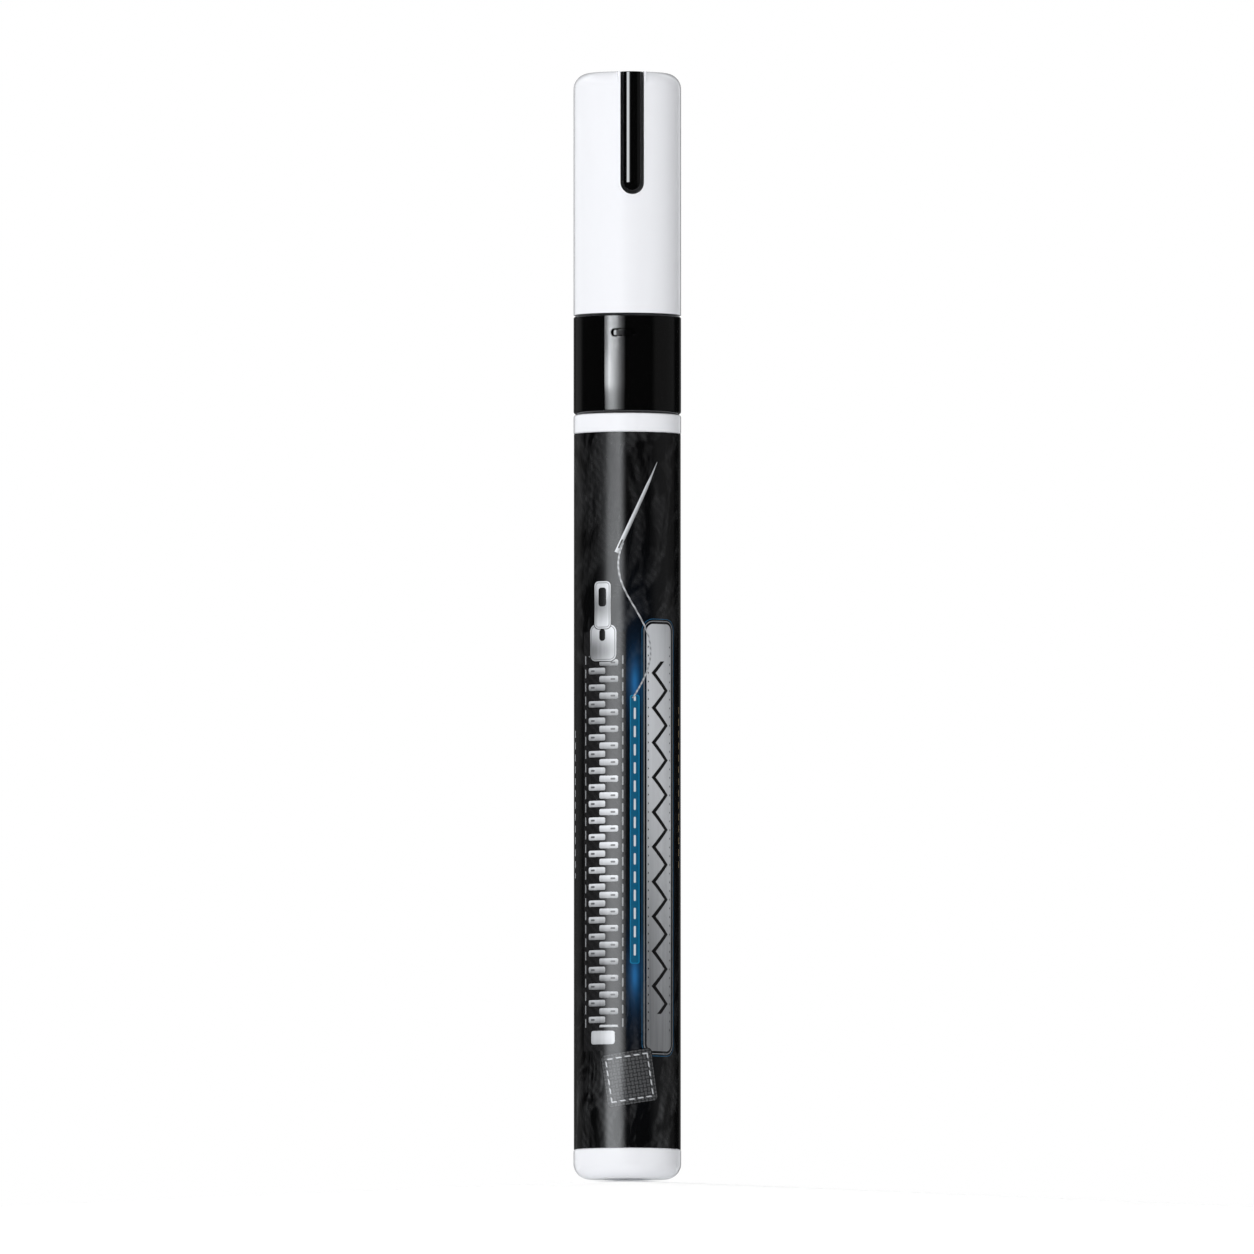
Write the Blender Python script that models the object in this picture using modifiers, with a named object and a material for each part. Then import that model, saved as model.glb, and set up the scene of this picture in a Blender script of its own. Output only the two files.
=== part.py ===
"""A valve-action fabric marker, with every piece that it comes apart into at its real size.

Metres, +Z up. The pen stands on its foot with its cap on. The origin is the middle of the foot and Z is the pen's
axis. The cap's black rib and the collar's window face -Y.
"""

import math

import bmesh
import bpy
from mathutils import Vector

# Fits
FIT_GAP = 0.00005  # radial gap between pieces that press or slide together
FACE_GAP = 0.00005  # gap between faces that rest on each other

# Barrel
BODY_RADIUS = 0.0068
BARREL_LENGTH = 0.0967
BARREL_WALL = 0.0011
BARREL_FLOOR = 0.0016
FOOT_FILLET = 0.002
FLOOR_FILLET = 0.0013
FOOT_RECESS_RADIUS = 0.003
FOOT_RECESS_DEPTH = 0.0004
EDGE_FILLET = 0.00025
FOOT_BAND = 0.00365  # bare barrel below the label
MOUTH_BAND = 0.0023  # bare barrel above the label

# Label
LABEL_SEAT_DEPTH = 0.00015
LABEL_FILM = 0.00008
LABEL_GAP = 0.00003
LABEL_END_GAP = 0.0001

# Snap and sealing beads between the barrel and the nib holder
SPIGOT_LENGTH = 0.012
SPIGOT_GAP = 0.00012
SNAP_RISE = 0.0032  # from the spigot's foot up to the middle of its snap bead
SNAP_WIDTH = 0.0016
SNAP_HEIGHT = 0.00025
SNAP_SIDE_GAP = 0.0002
SEAL_BEADS = 3
SEAL_BEAD_WIDTH = 0.0008

# Collar
COLLAR_LENGTH = 0.01255
COLLAR_CHAMFER = 0.0003
WINDOW_DROP = 0.0024  # from the collar's top to the middle of the window
WINDOW_WIDTH = 0.003
WINDOW_HEIGHT = 0.00092
WINDOW_ANGLE = math.radians(-4.6)
LATCH_GAP = 0.0001
LATCH_RECESS = 0.0003  # from the collar's surface to the latch's face

# Nose of the nib holder
NECK_LENGTH = 0.007
NECK_SHOULDER = 0.0009
NECK_BEAD_RISE = 0.0034
NECK_BEAD_HEIGHT = 0.00012
NECK_BEAD_WIDTH = 0.0009
LAND_STEP = 0.0013  # by which the land's radius is under the neck's
LAND_LENGTH = 0.0045
CONE_LENGTH = 0.0065
SPOUT_WALL = 0.00095
SPOUT_LENGTH = 0.0028
SPOUT_FILLET = 0.0004
GUIDE_LENGTH = 0.01
CHAMBER_GAP = 0.00095
CHAMBER_ROOF = 0.0012
VENT_WIDTH = 0.0006
VENT_DEPTH = 0.00035

# Nib
NIB_RADIUS = 0.0017
NIB_REACH = 0.00465
NIB_TIP_RADIUS = 0.0008
NIB_TIP_ROUNDING = 0.00072
NIB_TIP_LENGTH = 0.0036
NIB_REAR_CHAMFER = 0.0003

# Valve
VALVE_INSET = 0.0006  # from the spigot's end up to the valve body's end
VALVE_LENGTH = 0.0152
VALVE_WALL = 0.0009
SEAT_THICKNESS = 0.0014
SEAT_LIP_HEIGHT = 0.00015
SEAT_LIP_WIDTH = 0.0003
FLOW_GAP = 0.0005
STEM_RADIUS = 0.0011
STEM_REACH = 0.004
BUTTON_OVERHANG = 0.0003
BUTTON_LENGTH = 0.0008
BUTTON_TAPER = 0.0003
HEAD_OVERLAP = 0.0009
HEAD_THICKNESS = 0.0012
HEAD_CLEARANCE = 0.00045
PIN_RADIUS = 0.0008
PIN_LENGTH = 0.006
SEAL_THICKNESS = 0.0009
SEAL_INSET = 0.0002

# Spring and its cup
CUP_INSERT = 0.0035
CUP_FLANGE = 0.001
CUP_DROP = 0.004
CUP_WALL = 0.0008
CUP_FLOOR = 0.0009
INLET_RADIUS = 0.0009
INLET_SLOT_WIDTH = 0.0011
INLET_SLOT_MARGIN = 0.0003  # left above the cup's floor and below its flange
SPRING_CLEARANCE = 0.00015
SPRING_WIRE_RADIUS = 0.00018
SPRING_TURNS = 9
SPRING_POINTS_PER_TURN = 10

# Mixing balls
BALL_RADIUS = 0.0025
BALL_GAP = 0.0003

# Cap
CAP_WALL = 0.0012
CAP_CLEARANCE = 0.0003  # between the cap's bore and the neck
CAP_RIM_CHAMFER = 0.0003
CAP_BEAD_STEP = 0.00115  # by which the cap's bead lies below the neck's
CAP_BEAD_WIDTH = 0.0009
CROWN_THICKNESS = 0.0013
CROWN_FILLET = 0.002
CROWN_INNER_FILLET = 0.0005
BOSS_RADIUS = 0.0024
BOSS_HEIGHT = 0.0016
STUD_RADIUS = 0.0012
STUD_END_GAP = 0.0002
INNER_CAP_WALL = 0.00075
INNER_CAP_CEILING = 0.0008
INNER_CAP_RISE = 0.0008  # from the land's foot up to the inner cap's mouth
TIP_CLEARANCE = 0.0006

# Rib in the cap
RIB_ANGLE = math.radians(5.3)
RIB_WIDTH = 0.0029
RIB_LENGTH = 0.0156
RIB_PROUD = 0.00035
RIB_DROP = 0.0001
RIB_FLANGE_CLEARANCE = 0.00015
RIB_FLANGE_LAP = 0.0012
RIB_FLANGE_OVERHANG = 0.00085
SLOT_GAP = 0.00005
LIP_WIDTH = 0.0003
LIP_PROUD = 0.00006
LIP_DROP = 0.00005

# Facets
SHELL_STEPS = 40
CORE_STEPS = 24
BALL_SEGMENTS = 16
BALL_RINGS = 8
SMALL_FILLET = 0.0006
SMALL_ARC_STEPS = 2
LARGE_ARC_STEPS = 5
END_ARC_STEPS = 6
SHARP_ANGLE = math.radians(35)
OVERSHOOT = 0.001  # by which a cutter passes the face that it cuts
EMBED = 0.0003  # by which joined shapes overlap
MERGE_DISTANCE = 0.000001

# Radii, from the outside in
BARREL_BORE = BODY_RADIUS - BARREL_WALL
LABEL_SEAT = BODY_RADIUS - LABEL_SEAT_DEPTH
SPIGOT_RADIUS = BARREL_BORE - SPIGOT_GAP
CAP_BORE = BODY_RADIUS - CAP_WALL
NECK_RADIUS = CAP_BORE - CAP_CLEARANCE
COLLAR_BORE = NECK_RADIUS + FIT_GAP
LAND_RADIUS = NECK_RADIUS - LAND_STEP
INNER_CAP_BORE = LAND_RADIUS + FIT_GAP
INNER_CAP_RADIUS = INNER_CAP_BORE + INNER_CAP_WALL
RIB_FLANGE_OUTER = CAP_BORE - FIT_GAP
RIB_FLANGE_INNER = INNER_CAP_RADIUS + RIB_FLANGE_CLEARANCE
RIB_BACK = -(RIB_FLANGE_OUTER + RIB_FLANGE_INNER) / 2  # halfway into the flange behind the cap's wall

# Radii, from the inside out
GUIDE_RADIUS = NIB_RADIUS + FIT_GAP
SPOUT_RADIUS = GUIDE_RADIUS + SPOUT_WALL
CHAMBER_RADIUS = NIB_RADIUS + CHAMBER_GAP
BUTTON_RADIUS = STEM_RADIUS + BUTTON_OVERHANG
SEAT_HOLE = STEM_RADIUS + FLOW_GAP
HEAD_RADIUS = SEAT_HOLE + HEAD_OVERLAP
CAVITY_RADIUS = HEAD_RADIUS + HEAD_CLEARANCE
VALVE_RADIUS = CAVITY_RADIUS + VALVE_WALL
HOLDER_BORE = VALVE_RADIUS + FIT_GAP
CUP_RADIUS = CAVITY_RADIUS - FIT_GAP
CUP_BORE = CUP_RADIUS - CUP_WALL
SPRING_RADIUS = CUP_BORE - SPRING_CLEARANCE - SPRING_WIRE_RADIUS

# Heights, from the foot up
LABEL_FOOT = FOOT_BAND + LABEL_END_GAP
LABEL_TOP = BARREL_LENGTH - MOUTH_BAND - LABEL_END_GAP
COLLAR_FOOT = BARREL_LENGTH + FACE_GAP
COLLAR_TOP = COLLAR_FOOT + COLLAR_LENGTH
WINDOW_UP = COLLAR_TOP - WINDOW_DROP
NECK_BEAD_UP = COLLAR_TOP + NECK_BEAD_RISE
CAP_BEAD_UP = NECK_BEAD_UP - CAP_BEAD_STEP
NECK_TOP = COLLAR_TOP + NECK_LENGTH
LAND_FOOT = NECK_TOP + NECK_SHOULDER
LAND_TOP = LAND_FOOT + LAND_LENGTH
CONE_TOP = LAND_TOP + CONE_LENGTH
NOSE_TOP = CONE_TOP + SPOUT_LENGTH
GUIDE_FOOT = NOSE_TOP - GUIDE_LENGTH
NIB_TIP = NOSE_TOP + NIB_REACH
CAP_RIM = COLLAR_TOP + FACE_GAP
INNER_CAP_MOUTH = LAND_FOOT + INNER_CAP_RISE
CEILING_FOOT = NIB_TIP + TIP_CLEARANCE
CEILING_TOP = CEILING_FOOT + INNER_CAP_CEILING
BOSS_FOOT = CEILING_TOP + FACE_GAP
CROWN_FOOT = BOSS_FOOT + BOSS_HEIGHT
PEN_TOP = CROWN_FOOT + CROWN_THICKNESS
RIB_FOOT = PEN_TOP - RIB_LENGTH
RIB_TOP = PEN_TOP - RIB_DROP

# Heights of the valve, from the spigot's end
SPIGOT_FOOT = BARREL_LENGTH - SPIGOT_LENGTH
SNAP_UP = SPIGOT_FOOT + SNAP_RISE
SEAL_BEAD_PITCH = (BARREL_LENGTH - SNAP_UP) / (SEAL_BEADS + 1)
VALVE_FOOT = SPIGOT_FOOT + VALVE_INSET
VALVE_TOP = VALVE_FOOT + VALVE_LENGTH
SEAT_FOOT = VALVE_TOP - SEAT_THICKNESS
SEAL_TOP = SEAT_FOOT - SEAT_LIP_HEIGHT - FACE_GAP
SEAL_FOOT = SEAL_TOP - SEAL_THICKNESS
HEAD_TOP = SEAL_FOOT - FACE_GAP
HEAD_FOOT = HEAD_TOP - HEAD_THICKNESS
STEM_TOP = VALVE_TOP + STEM_REACH
NIB_REAR = STEM_TOP + FACE_GAP
CUP_FLANGE_TOP = VALVE_FOOT - FACE_GAP
CUP_FLANGE_FOOT = CUP_FLANGE_TOP - CUP_FLANGE
CUP_FOOT = CUP_FLANGE_FOOT - CUP_DROP
CUP_FLOOR_TOP = CUP_FOOT + CUP_FLOOR

# Colour (linear), roughness and metallic value of each finish
WHITE_PLASTIC = ("white_plastic", (0.86, 0.87, 0.89), 0.32, 0.0)
BLACK_PLASTIC = ("black_plastic", (0.006, 0.006, 0.007), 0.12, 0.0)
LABEL_PRINT = ("label_print", (0.016, 0.017, 0.019), 0.22, 0.0)
SEAL_CUP_PLASTIC = ("seal_cup_plastic", (0.70, 0.72, 0.72), 0.45, 0.0)
VALVE_PLASTIC = ("valve_plastic", (0.78, 0.78, 0.75), 0.40, 0.0)
NIB_FELT = ("nib_felt", (0.80, 0.77, 0.70), 0.90, 0.0)
SEAL_RUBBER = ("seal_rubber", (0.020, 0.020, 0.020), 0.75, 0.0)
SPRING_STEEL = ("spring_steel", (0.55, 0.55, 0.56), 0.25, 1.0)
BALL_STEEL = ("ball_steel", (0.62, 0.62, 0.63), 0.10, 1.0)


def clear_scene():
    """Removes whatever the file started with."""
    for old in list(bpy.data.objects):
        bpy.data.objects.remove(old)


def new_collection(name):
    """A collection in the scene."""
    made = bpy.data.collections.new(name)
    bpy.context.scene.collection.children.link(made)
    return made


def material(name, colour, roughness, metallic):
    """A Principled material with one colour, roughness and metallic value."""
    made = bpy.data.materials.get(name)
    if made is None:
        made = bpy.data.materials.new(name)
        made.use_nodes = True
        shader = made.node_tree.nodes["Principled BSDF"]
        shader.inputs["Base Color"].default_value = (*colour, 1.0)
        shader.inputs["Roughness"].default_value = roughness
        shader.inputs["Metallic"].default_value = metallic
        made.diffuse_color = (*colour, 1.0)
    return made


def linked(name, data):
    """An object with this data, in the collection of parts."""
    made = bpy.data.objects.new(name, data)
    PARTS.objects.link(made)
    return made


def as_cutter(shape):
    """Moves a shape to the cutters, where it shows as wire and isn't rendered."""
    PARTS.objects.unlink(shape)
    CUTTERS.objects.link(shape)
    shape.hide_render = True
    shape.display_type = "WIRE"
    return shape


def rounded(outline):
    """The outline's points. A corner given with a third number becomes an arc of that radius."""
    points = []
    for place, corner in enumerate(outline):
        here = Vector(corner[:2])
        if len(corner) == 2:
            points.append(here)
            continue
        radius = corner[2]
        back = (Vector(outline[place - 1][:2]) - here).normalized()
        ahead = (Vector(outline[(place + 1) % len(outline)][:2]) - here).normalized()
        half = back.angle(ahead) / 2
        centre = here + (back + ahead).normalized() * radius / math.sin(half)
        start = here + back * radius / math.tan(half) - centre
        end = here + ahead * radius / math.tan(half) - centre
        first = math.atan2(start.y, start.x)
        turn = math.remainder(math.atan2(end.y, end.x) - first, math.tau)
        steps = SMALL_ARC_STEPS if radius <= SMALL_FILLET else LARGE_ARC_STEPS
        for step in range(steps + 1):
            angle = first + turn * step / steps
            points.append(centre + radius * Vector((math.cos(angle), math.sin(angle))))
    return points


def turned(name, outline, steps, ring=True):
    """A piece turned about Z from (radius, height) points that run down its outer side and back up its inner one.
    A ring's outline closes on itself, and a solid's starts and ends on the axis."""
    points = rounded(outline)
    count = len(points)
    edges = [(i, (i + 1) % count) for i in range(count if ring else count - 1)]
    mesh = bpy.data.meshes.new(name)
    mesh.from_pydata([(p.x, 0.0, p.y) for p in points], edges, [])
    made = linked(name, mesh)
    screw = made.modifiers.new("turn", "SCREW")
    screw.steps = screw.render_steps = steps
    screw.use_merge_vertices = True
    screw.merge_threshold = MERGE_DISTANCE
    return made


def flat_prism(name, outline, near, far):
    """A flat (x, z) outline, drawn out along Y from near to far."""
    curve = bpy.data.curves.new(name, "CURVE")
    curve.dimensions = "2D"
    curve.fill_mode = "BOTH"
    curve.extrude = abs(far - near) / 2
    spline = curve.splines.new("POLY")
    spline.points.add(len(outline) - 1)
    for point, (x, z) in zip(spline.points, outline):
        point.co = (x, z, 0.0, 1.0)
    spline.use_cyclic_u = True
    drawn = linked(name, curve)
    drawn.rotation_euler.x = math.pi / 2
    drawn.location.y = (near + far) / 2
    return as_mesh(drawn)


def as_mesh(drawn):
    """Replaces a curve object with a mesh object whose caps are welded on."""
    name = drawn.name
    bpy.context.view_layer.update()
    graph = bpy.context.evaluated_depsgraph_get()
    mesh = bpy.data.meshes.new_from_object(drawn.evaluated_get(graph))
    mesh.transform(drawn.matrix_world)
    bpy.data.objects.remove(drawn)
    shape = bmesh.new()
    shape.from_mesh(mesh)
    bmesh.ops.remove_doubles(shape, verts=shape.verts, dist=MERGE_DISTANCE)
    bmesh.ops.recalc_face_normals(shape, faces=shape.faces)
    shape.to_mesh(mesh)
    shape.free()
    return linked(name, mesh)


def box(name, low, high):
    """A box between two corners."""
    shape = bmesh.new()
    bmesh.ops.create_cube(shape, size=1.0)
    low, high = Vector(low), Vector(high)
    bmesh.ops.scale(shape, vec=high - low, verts=shape.verts)
    bmesh.ops.translate(shape, vec=(low + high) / 2, verts=shape.verts)
    mesh = bpy.data.meshes.new(name)
    shape.to_mesh(mesh)
    shape.free()
    return linked(name, mesh)


def quarter_round(radius, foot):
    """Points of a quarter circle, from its side down to its lowest point, at x = 0."""
    points = []
    for step in range(END_ARC_STEPS + 1):
        angle = math.pi / 2 * step / END_ARC_STEPS
        points.append((radius * math.cos(angle), foot + radius - radius * math.sin(angle)))
    return points


def pill(width, foot, top):
    """An upright outline with a half-round foot and a flat top."""
    right = quarter_round(width / 2, foot)
    left = [(-x, z) for x, z in right[:-1]]
    return [(-width / 2, top), *left, *reversed(right), (width / 2, top)]


def slot_outline(width, height, middle):
    """A level outline with half-round ends, centred on x = 0."""
    radius = height / 2
    reach = width / 2 - radius
    outline = []
    for side in (1, -1):
        for step in range(END_ARC_STEPS + 1):
            angle = math.pi * (step / END_ARC_STEPS - 0.5)
            outline.append((side * (reach + radius * math.cos(angle)), middle + side * radius * math.sin(angle)))
    return outline


def combine(piece, other, operation):
    """Joins, cuts or intersects a piece with another shape, which then moves to the cutters."""
    change = piece.modifiers.new(other.name, "BOOLEAN")
    change.operation = operation
    change.object = other
    as_cutter(other)


def finish(piece, finish_values, carrier=None):
    """Settles a piece's modifiers into its mesh, shades it smooth between sharp corners and gives its material."""
    bpy.context.view_layer.update()
    graph = bpy.context.evaluated_depsgraph_get()
    mesh = bpy.data.meshes.new_from_object(piece.evaluated_get(graph))
    piece.modifiers.clear()
    piece.data = mesh
    mesh.name = piece.name
    mesh.shade_smooth()
    mesh.set_sharp_from_angle(angle=SHARP_ANGLE)
    mesh.materials.clear()
    mesh.materials.append(material(*finish_values))
    piece.parent = carrier
    return piece


def carrier_empty(name, angle=0.0):
    """An empty on the pen's axis that carries pieces, turned about that axis."""
    made = linked(name, None)
    made.rotation_euler.z = angle
    return made


def bead(radius, height_up, width, height):
    """Points of a rounded bead on a turned piece's outer side, from its upper edge down."""
    return [
        (radius, height_up + width / 2),
        (radius + height, height_up + width / 4),
        (radius + height, height_up - width / 4),
        (radius, height_up - width / 2),
    ]


def make_barrel():
    """The white barrel: closed foot, recess for the label, and a snap groove in its bore."""
    groove_radius = BARREL_BORE + SNAP_HEIGHT
    groove_reach = SNAP_WIDTH / 2
    label_top = BARREL_LENGTH - MOUTH_BAND
    outline = [
        (0.0, BARREL_FLOOR),
        (BARREL_BORE, BARREL_FLOOR, FLOOR_FILLET),
        (BARREL_BORE, SNAP_UP - groove_reach),
        (groove_radius, SNAP_UP - groove_reach + SNAP_HEIGHT),
        (groove_radius, SNAP_UP + groove_reach - SNAP_HEIGHT),
        (BARREL_BORE, SNAP_UP + groove_reach),
        (BARREL_BORE, BARREL_LENGTH - EDGE_FILLET),
        (BARREL_BORE + EDGE_FILLET, BARREL_LENGTH),
        (BODY_RADIUS, BARREL_LENGTH, EDGE_FILLET),
        (BODY_RADIUS, label_top),
        (LABEL_SEAT, label_top),
        (LABEL_SEAT, FOOT_BAND),
        (BODY_RADIUS, FOOT_BAND),
        (BODY_RADIUS, 0.0, FOOT_FILLET),
        (FOOT_RECESS_RADIUS, 0.0),
        (FOOT_RECESS_RADIUS - FOOT_RECESS_DEPTH, FOOT_RECESS_DEPTH),
        (0.0, FOOT_RECESS_DEPTH),
    ]
    finish(turned("barrel", outline, SHELL_STEPS, ring=False), WHITE_PLASTIC)


def make_label():
    """The printed film round the barrel."""
    inner = LABEL_SEAT + LABEL_GAP
    outer = inner + LABEL_FILM
    outline = [(outer, LABEL_TOP), (outer, LABEL_FOOT), (inner, LABEL_FOOT), (inner, LABEL_TOP)]
    finish(turned("label_sleeve", outline, SHELL_STEPS), LABEL_PRINT)


def make_collar(carrier):
    """The black collar between the barrel and the cap, with a window for the latch."""
    outline = [
        (BODY_RADIUS - COLLAR_CHAMFER, COLLAR_TOP),
        (BODY_RADIUS, COLLAR_TOP - COLLAR_CHAMFER),
        (BODY_RADIUS, COLLAR_FOOT + COLLAR_CHAMFER),
        (BODY_RADIUS - COLLAR_CHAMFER, COLLAR_FOOT),
        (COLLAR_BORE, COLLAR_FOOT),
        (COLLAR_BORE, COLLAR_TOP),
    ]
    collar = turned("front_collar", outline, SHELL_STEPS)
    window = slot_outline(WINDOW_WIDTH, WINDOW_HEIGHT, WINDOW_UP)
    cutter = flat_prism("collar_window", window, -BODY_RADIUS - OVERSHOOT, OVERSHOOT - COLLAR_BORE)
    combine(collar, cutter, "DIFFERENCE")
    finish(collar, BLACK_PLASTIC, carrier)


def make_nib_holder(carrier):
    """The nose that snaps into the barrel: it carries the collar, the cap's seat, the valve and the nib."""
    seal_beads = []
    for number in range(1, SEAL_BEADS + 1):
        bead_up = BARREL_LENGTH - number * SEAL_BEAD_PITCH
        seal_beads += bead(SPIGOT_RADIUS, bead_up, SEAL_BEAD_WIDTH, SPIGOT_GAP - FIT_GAP)
    snap_height = SPIGOT_GAP + SNAP_HEIGHT - FIT_GAP
    snap_bead = bead(SPIGOT_RADIUS, SNAP_UP, SNAP_WIDTH - 2 * SNAP_SIDE_GAP, snap_height)
    outline = [
        (SPOUT_RADIUS, NOSE_TOP, SPOUT_FILLET),
        (SPOUT_RADIUS, CONE_TOP),
        (LAND_RADIUS, LAND_TOP),
        (LAND_RADIUS, LAND_FOOT),
        (NECK_RADIUS, NECK_TOP),
        *bead(NECK_RADIUS, NECK_BEAD_UP, NECK_BEAD_WIDTH, NECK_BEAD_HEIGHT),
        (NECK_RADIUS, COLLAR_FOOT),
        (SPIGOT_RADIUS, BARREL_LENGTH - EDGE_FILLET),
        *seal_beads,
        *snap_bead,
        (SPIGOT_RADIUS, SPIGOT_FOOT + EDGE_FILLET),
        (SPIGOT_RADIUS - EDGE_FILLET, SPIGOT_FOOT),
        (HOLDER_BORE, SPIGOT_FOOT),
        (HOLDER_BORE, VALVE_TOP + FACE_GAP),
        (CHAMBER_RADIUS, VALVE_TOP + FACE_GAP),
        (CHAMBER_RADIUS, GUIDE_FOOT - CHAMBER_ROOF),
        (GUIDE_RADIUS, GUIDE_FOOT),
        (GUIDE_RADIUS, NOSE_TOP),
    ]
    holder = turned("nib_holder", outline, SHELL_STEPS)
    reach = GUIDE_RADIUS + VENT_DEPTH
    half = VENT_WIDTH / 2
    foot = GUIDE_FOOT - CHAMBER_ROOF / 2
    top = NOSE_TOP + OVERSHOOT
    combine(holder, box("vents_across", (-reach, -half, foot), (reach, half, top)), "DIFFERENCE")
    combine(holder, box("vents_along", (-half, -reach, foot), (half, reach, top)), "DIFFERENCE")
    latch = slot_outline(WINDOW_WIDTH - 2 * LATCH_GAP, WINDOW_HEIGHT - 2 * LATCH_GAP, WINDOW_UP)
    combine(holder, flat_prism("latch", latch, LATCH_RECESS - BODY_RADIUS, EMBED - NECK_RADIUS), "UNION")
    finish(holder, BLACK_PLASTIC, carrier)


def make_nib(carrier):
    """The bullet felt tip, which slides in the holder's guide."""
    outline = [
        (0.0, NIB_TIP),
        (NIB_TIP_RADIUS, NIB_TIP, NIB_TIP_ROUNDING),
        (NIB_RADIUS, NIB_TIP - NIB_TIP_LENGTH),
        (NIB_RADIUS, NIB_REAR + NIB_REAR_CHAMFER),
        (NIB_RADIUS - NIB_REAR_CHAMFER, NIB_REAR),
        (0.0, NIB_REAR),
    ]
    finish(turned("nib", outline, CORE_STEPS, ring=False), NIB_FELT, carrier)


def make_valve_body():
    """The tube pressed into the holder, whose roof is the valve's seat."""
    lip = (SEAT_HOLE + HEAD_RADIUS - SEAL_INSET) / 2
    outline = [
        (VALVE_RADIUS - EDGE_FILLET, VALVE_TOP),
        (VALVE_RADIUS, VALVE_TOP - EDGE_FILLET),
        (VALVE_RADIUS, VALVE_FOOT),
        (CAVITY_RADIUS, VALVE_FOOT),
        (CAVITY_RADIUS, SEAT_FOOT),
        (lip + SEAT_LIP_WIDTH / 2, SEAT_FOOT),
        (lip, SEAT_FOOT - SEAT_LIP_HEIGHT),
        (lip - SEAT_LIP_WIDTH / 2, SEAT_FOOT),
        (SEAT_HOLE, SEAT_FOOT),
        (SEAT_HOLE, VALVE_TOP),
    ]
    finish(turned("valve_body", outline, CORE_STEPS), VALVE_PLASTIC)


def make_valve_stem(carrier):
    """The plunger: a button under the nib, a shaft through the seat, a head below it and a pin in the spring."""
    outline = [
        (0.0, STEM_TOP),
        (BUTTON_RADIUS, STEM_TOP),
        (BUTTON_RADIUS, STEM_TOP - BUTTON_LENGTH),
        (STEM_RADIUS, STEM_TOP - BUTTON_LENGTH - BUTTON_TAPER),
        (STEM_RADIUS, HEAD_TOP),
        (HEAD_RADIUS, HEAD_TOP),
        (HEAD_RADIUS, HEAD_FOOT, EDGE_FILLET),
        (PIN_RADIUS, HEAD_FOOT),
        (PIN_RADIUS, HEAD_FOOT - PIN_LENGTH, EDGE_FILLET),
        (0.0, HEAD_FOOT - PIN_LENGTH),
    ]
    finish(turned("valve_stem", outline, CORE_STEPS, ring=False), VALVE_PLASTIC, carrier)


def make_stem_seal(carrier):
    """The rubber washer on the stem's head that closes on the seat."""
    inner = STEM_RADIUS + FIT_GAP
    outer = HEAD_RADIUS - SEAL_INSET
    outline = [(outer, SEAL_TOP), (outer, SEAL_FOOT), (inner, SEAL_FOOT), (inner, SEAL_TOP)]
    finish(turned("stem_seal", outline, CORE_STEPS), SEAL_RUBBER, carrier)


def make_spring_cup():
    """The slotted cup that plugs into the valve body's open end and carries the spring."""
    outline = [
        (CUP_RADIUS, VALVE_FOOT + CUP_INSERT),
        (CUP_RADIUS, CUP_FLANGE_TOP),
        (VALVE_RADIUS, CUP_FLANGE_TOP),
        (VALVE_RADIUS, CUP_FLANGE_FOOT),
        (CUP_RADIUS, CUP_FLANGE_FOOT),
        (CUP_RADIUS, CUP_FOOT, EDGE_FILLET),
        (INLET_RADIUS, CUP_FOOT),
        (INLET_RADIUS, CUP_FLOOR_TOP),
        (CUP_BORE, CUP_FLOOR_TOP),
        (CUP_BORE, VALVE_FOOT + CUP_INSERT),
    ]
    cup = turned("spring_cup", outline, CORE_STEPS)
    reach = CUP_RADIUS + OVERSHOOT
    half = INLET_SLOT_WIDTH / 2
    foot = CUP_FLOOR_TOP + INLET_SLOT_MARGIN
    top = CUP_FLANGE_FOOT - INLET_SLOT_MARGIN
    combine(cup, box("inlets_across", (-reach, -half, foot), (reach, half, top)), "DIFFERENCE")
    combine(cup, box("inlets_along", (-half, -reach, foot), (half, reach, top)), "DIFFERENCE")
    finish(cup, VALVE_PLASTIC)


def coil_points(radius, foot, top, turns):
    """Points of a helix about the pen's axis."""
    count = turns * SPRING_POINTS_PER_TURN
    points = []
    for place in range(count + 1):
        angle = math.tau * place / SPRING_POINTS_PER_TURN
        height = foot + (top - foot) * place / count
        points.append(Vector((radius * math.cos(angle), radius * math.sin(angle), height)))
    return points


def least_gap(points, wire_radius):
    """The least gap between stretches of a coil that lie half a turn or more apart along the wire."""
    apart = SPRING_POINTS_PER_TURN // 2
    nearest = min((a - b).length for place, a in enumerate(points) for b in points[place + apart :])
    return nearest - 2 * wire_radius


def make_valve_spring():
    """The steel coil between the cup's floor and the stem's head."""
    foot = CUP_FLOOR_TOP + SPRING_WIRE_RADIUS + FACE_GAP
    top = HEAD_FOOT - SPRING_WIRE_RADIUS - FACE_GAP
    points = coil_points(SPRING_RADIUS, foot, top, SPRING_TURNS)
    print(f"valve_spring: least gap to itself {least_gap(points, SPRING_WIRE_RADIUS) * 1000:.2f} mm")
    curve = bpy.data.curves.new("valve_spring", "CURVE")
    curve.dimensions = "3D"
    curve.bevel_depth = SPRING_WIRE_RADIUS
    curve.bevel_resolution = 1
    curve.use_fill_caps = True
    spline = curve.splines.new("POLY")
    spline.points.add(len(points) - 1)
    for target, point in zip(spline.points, points):
        target.co = (*point, 1.0)
    finish(as_mesh(linked("valve_spring", curve)), SPRING_STEEL)


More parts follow.
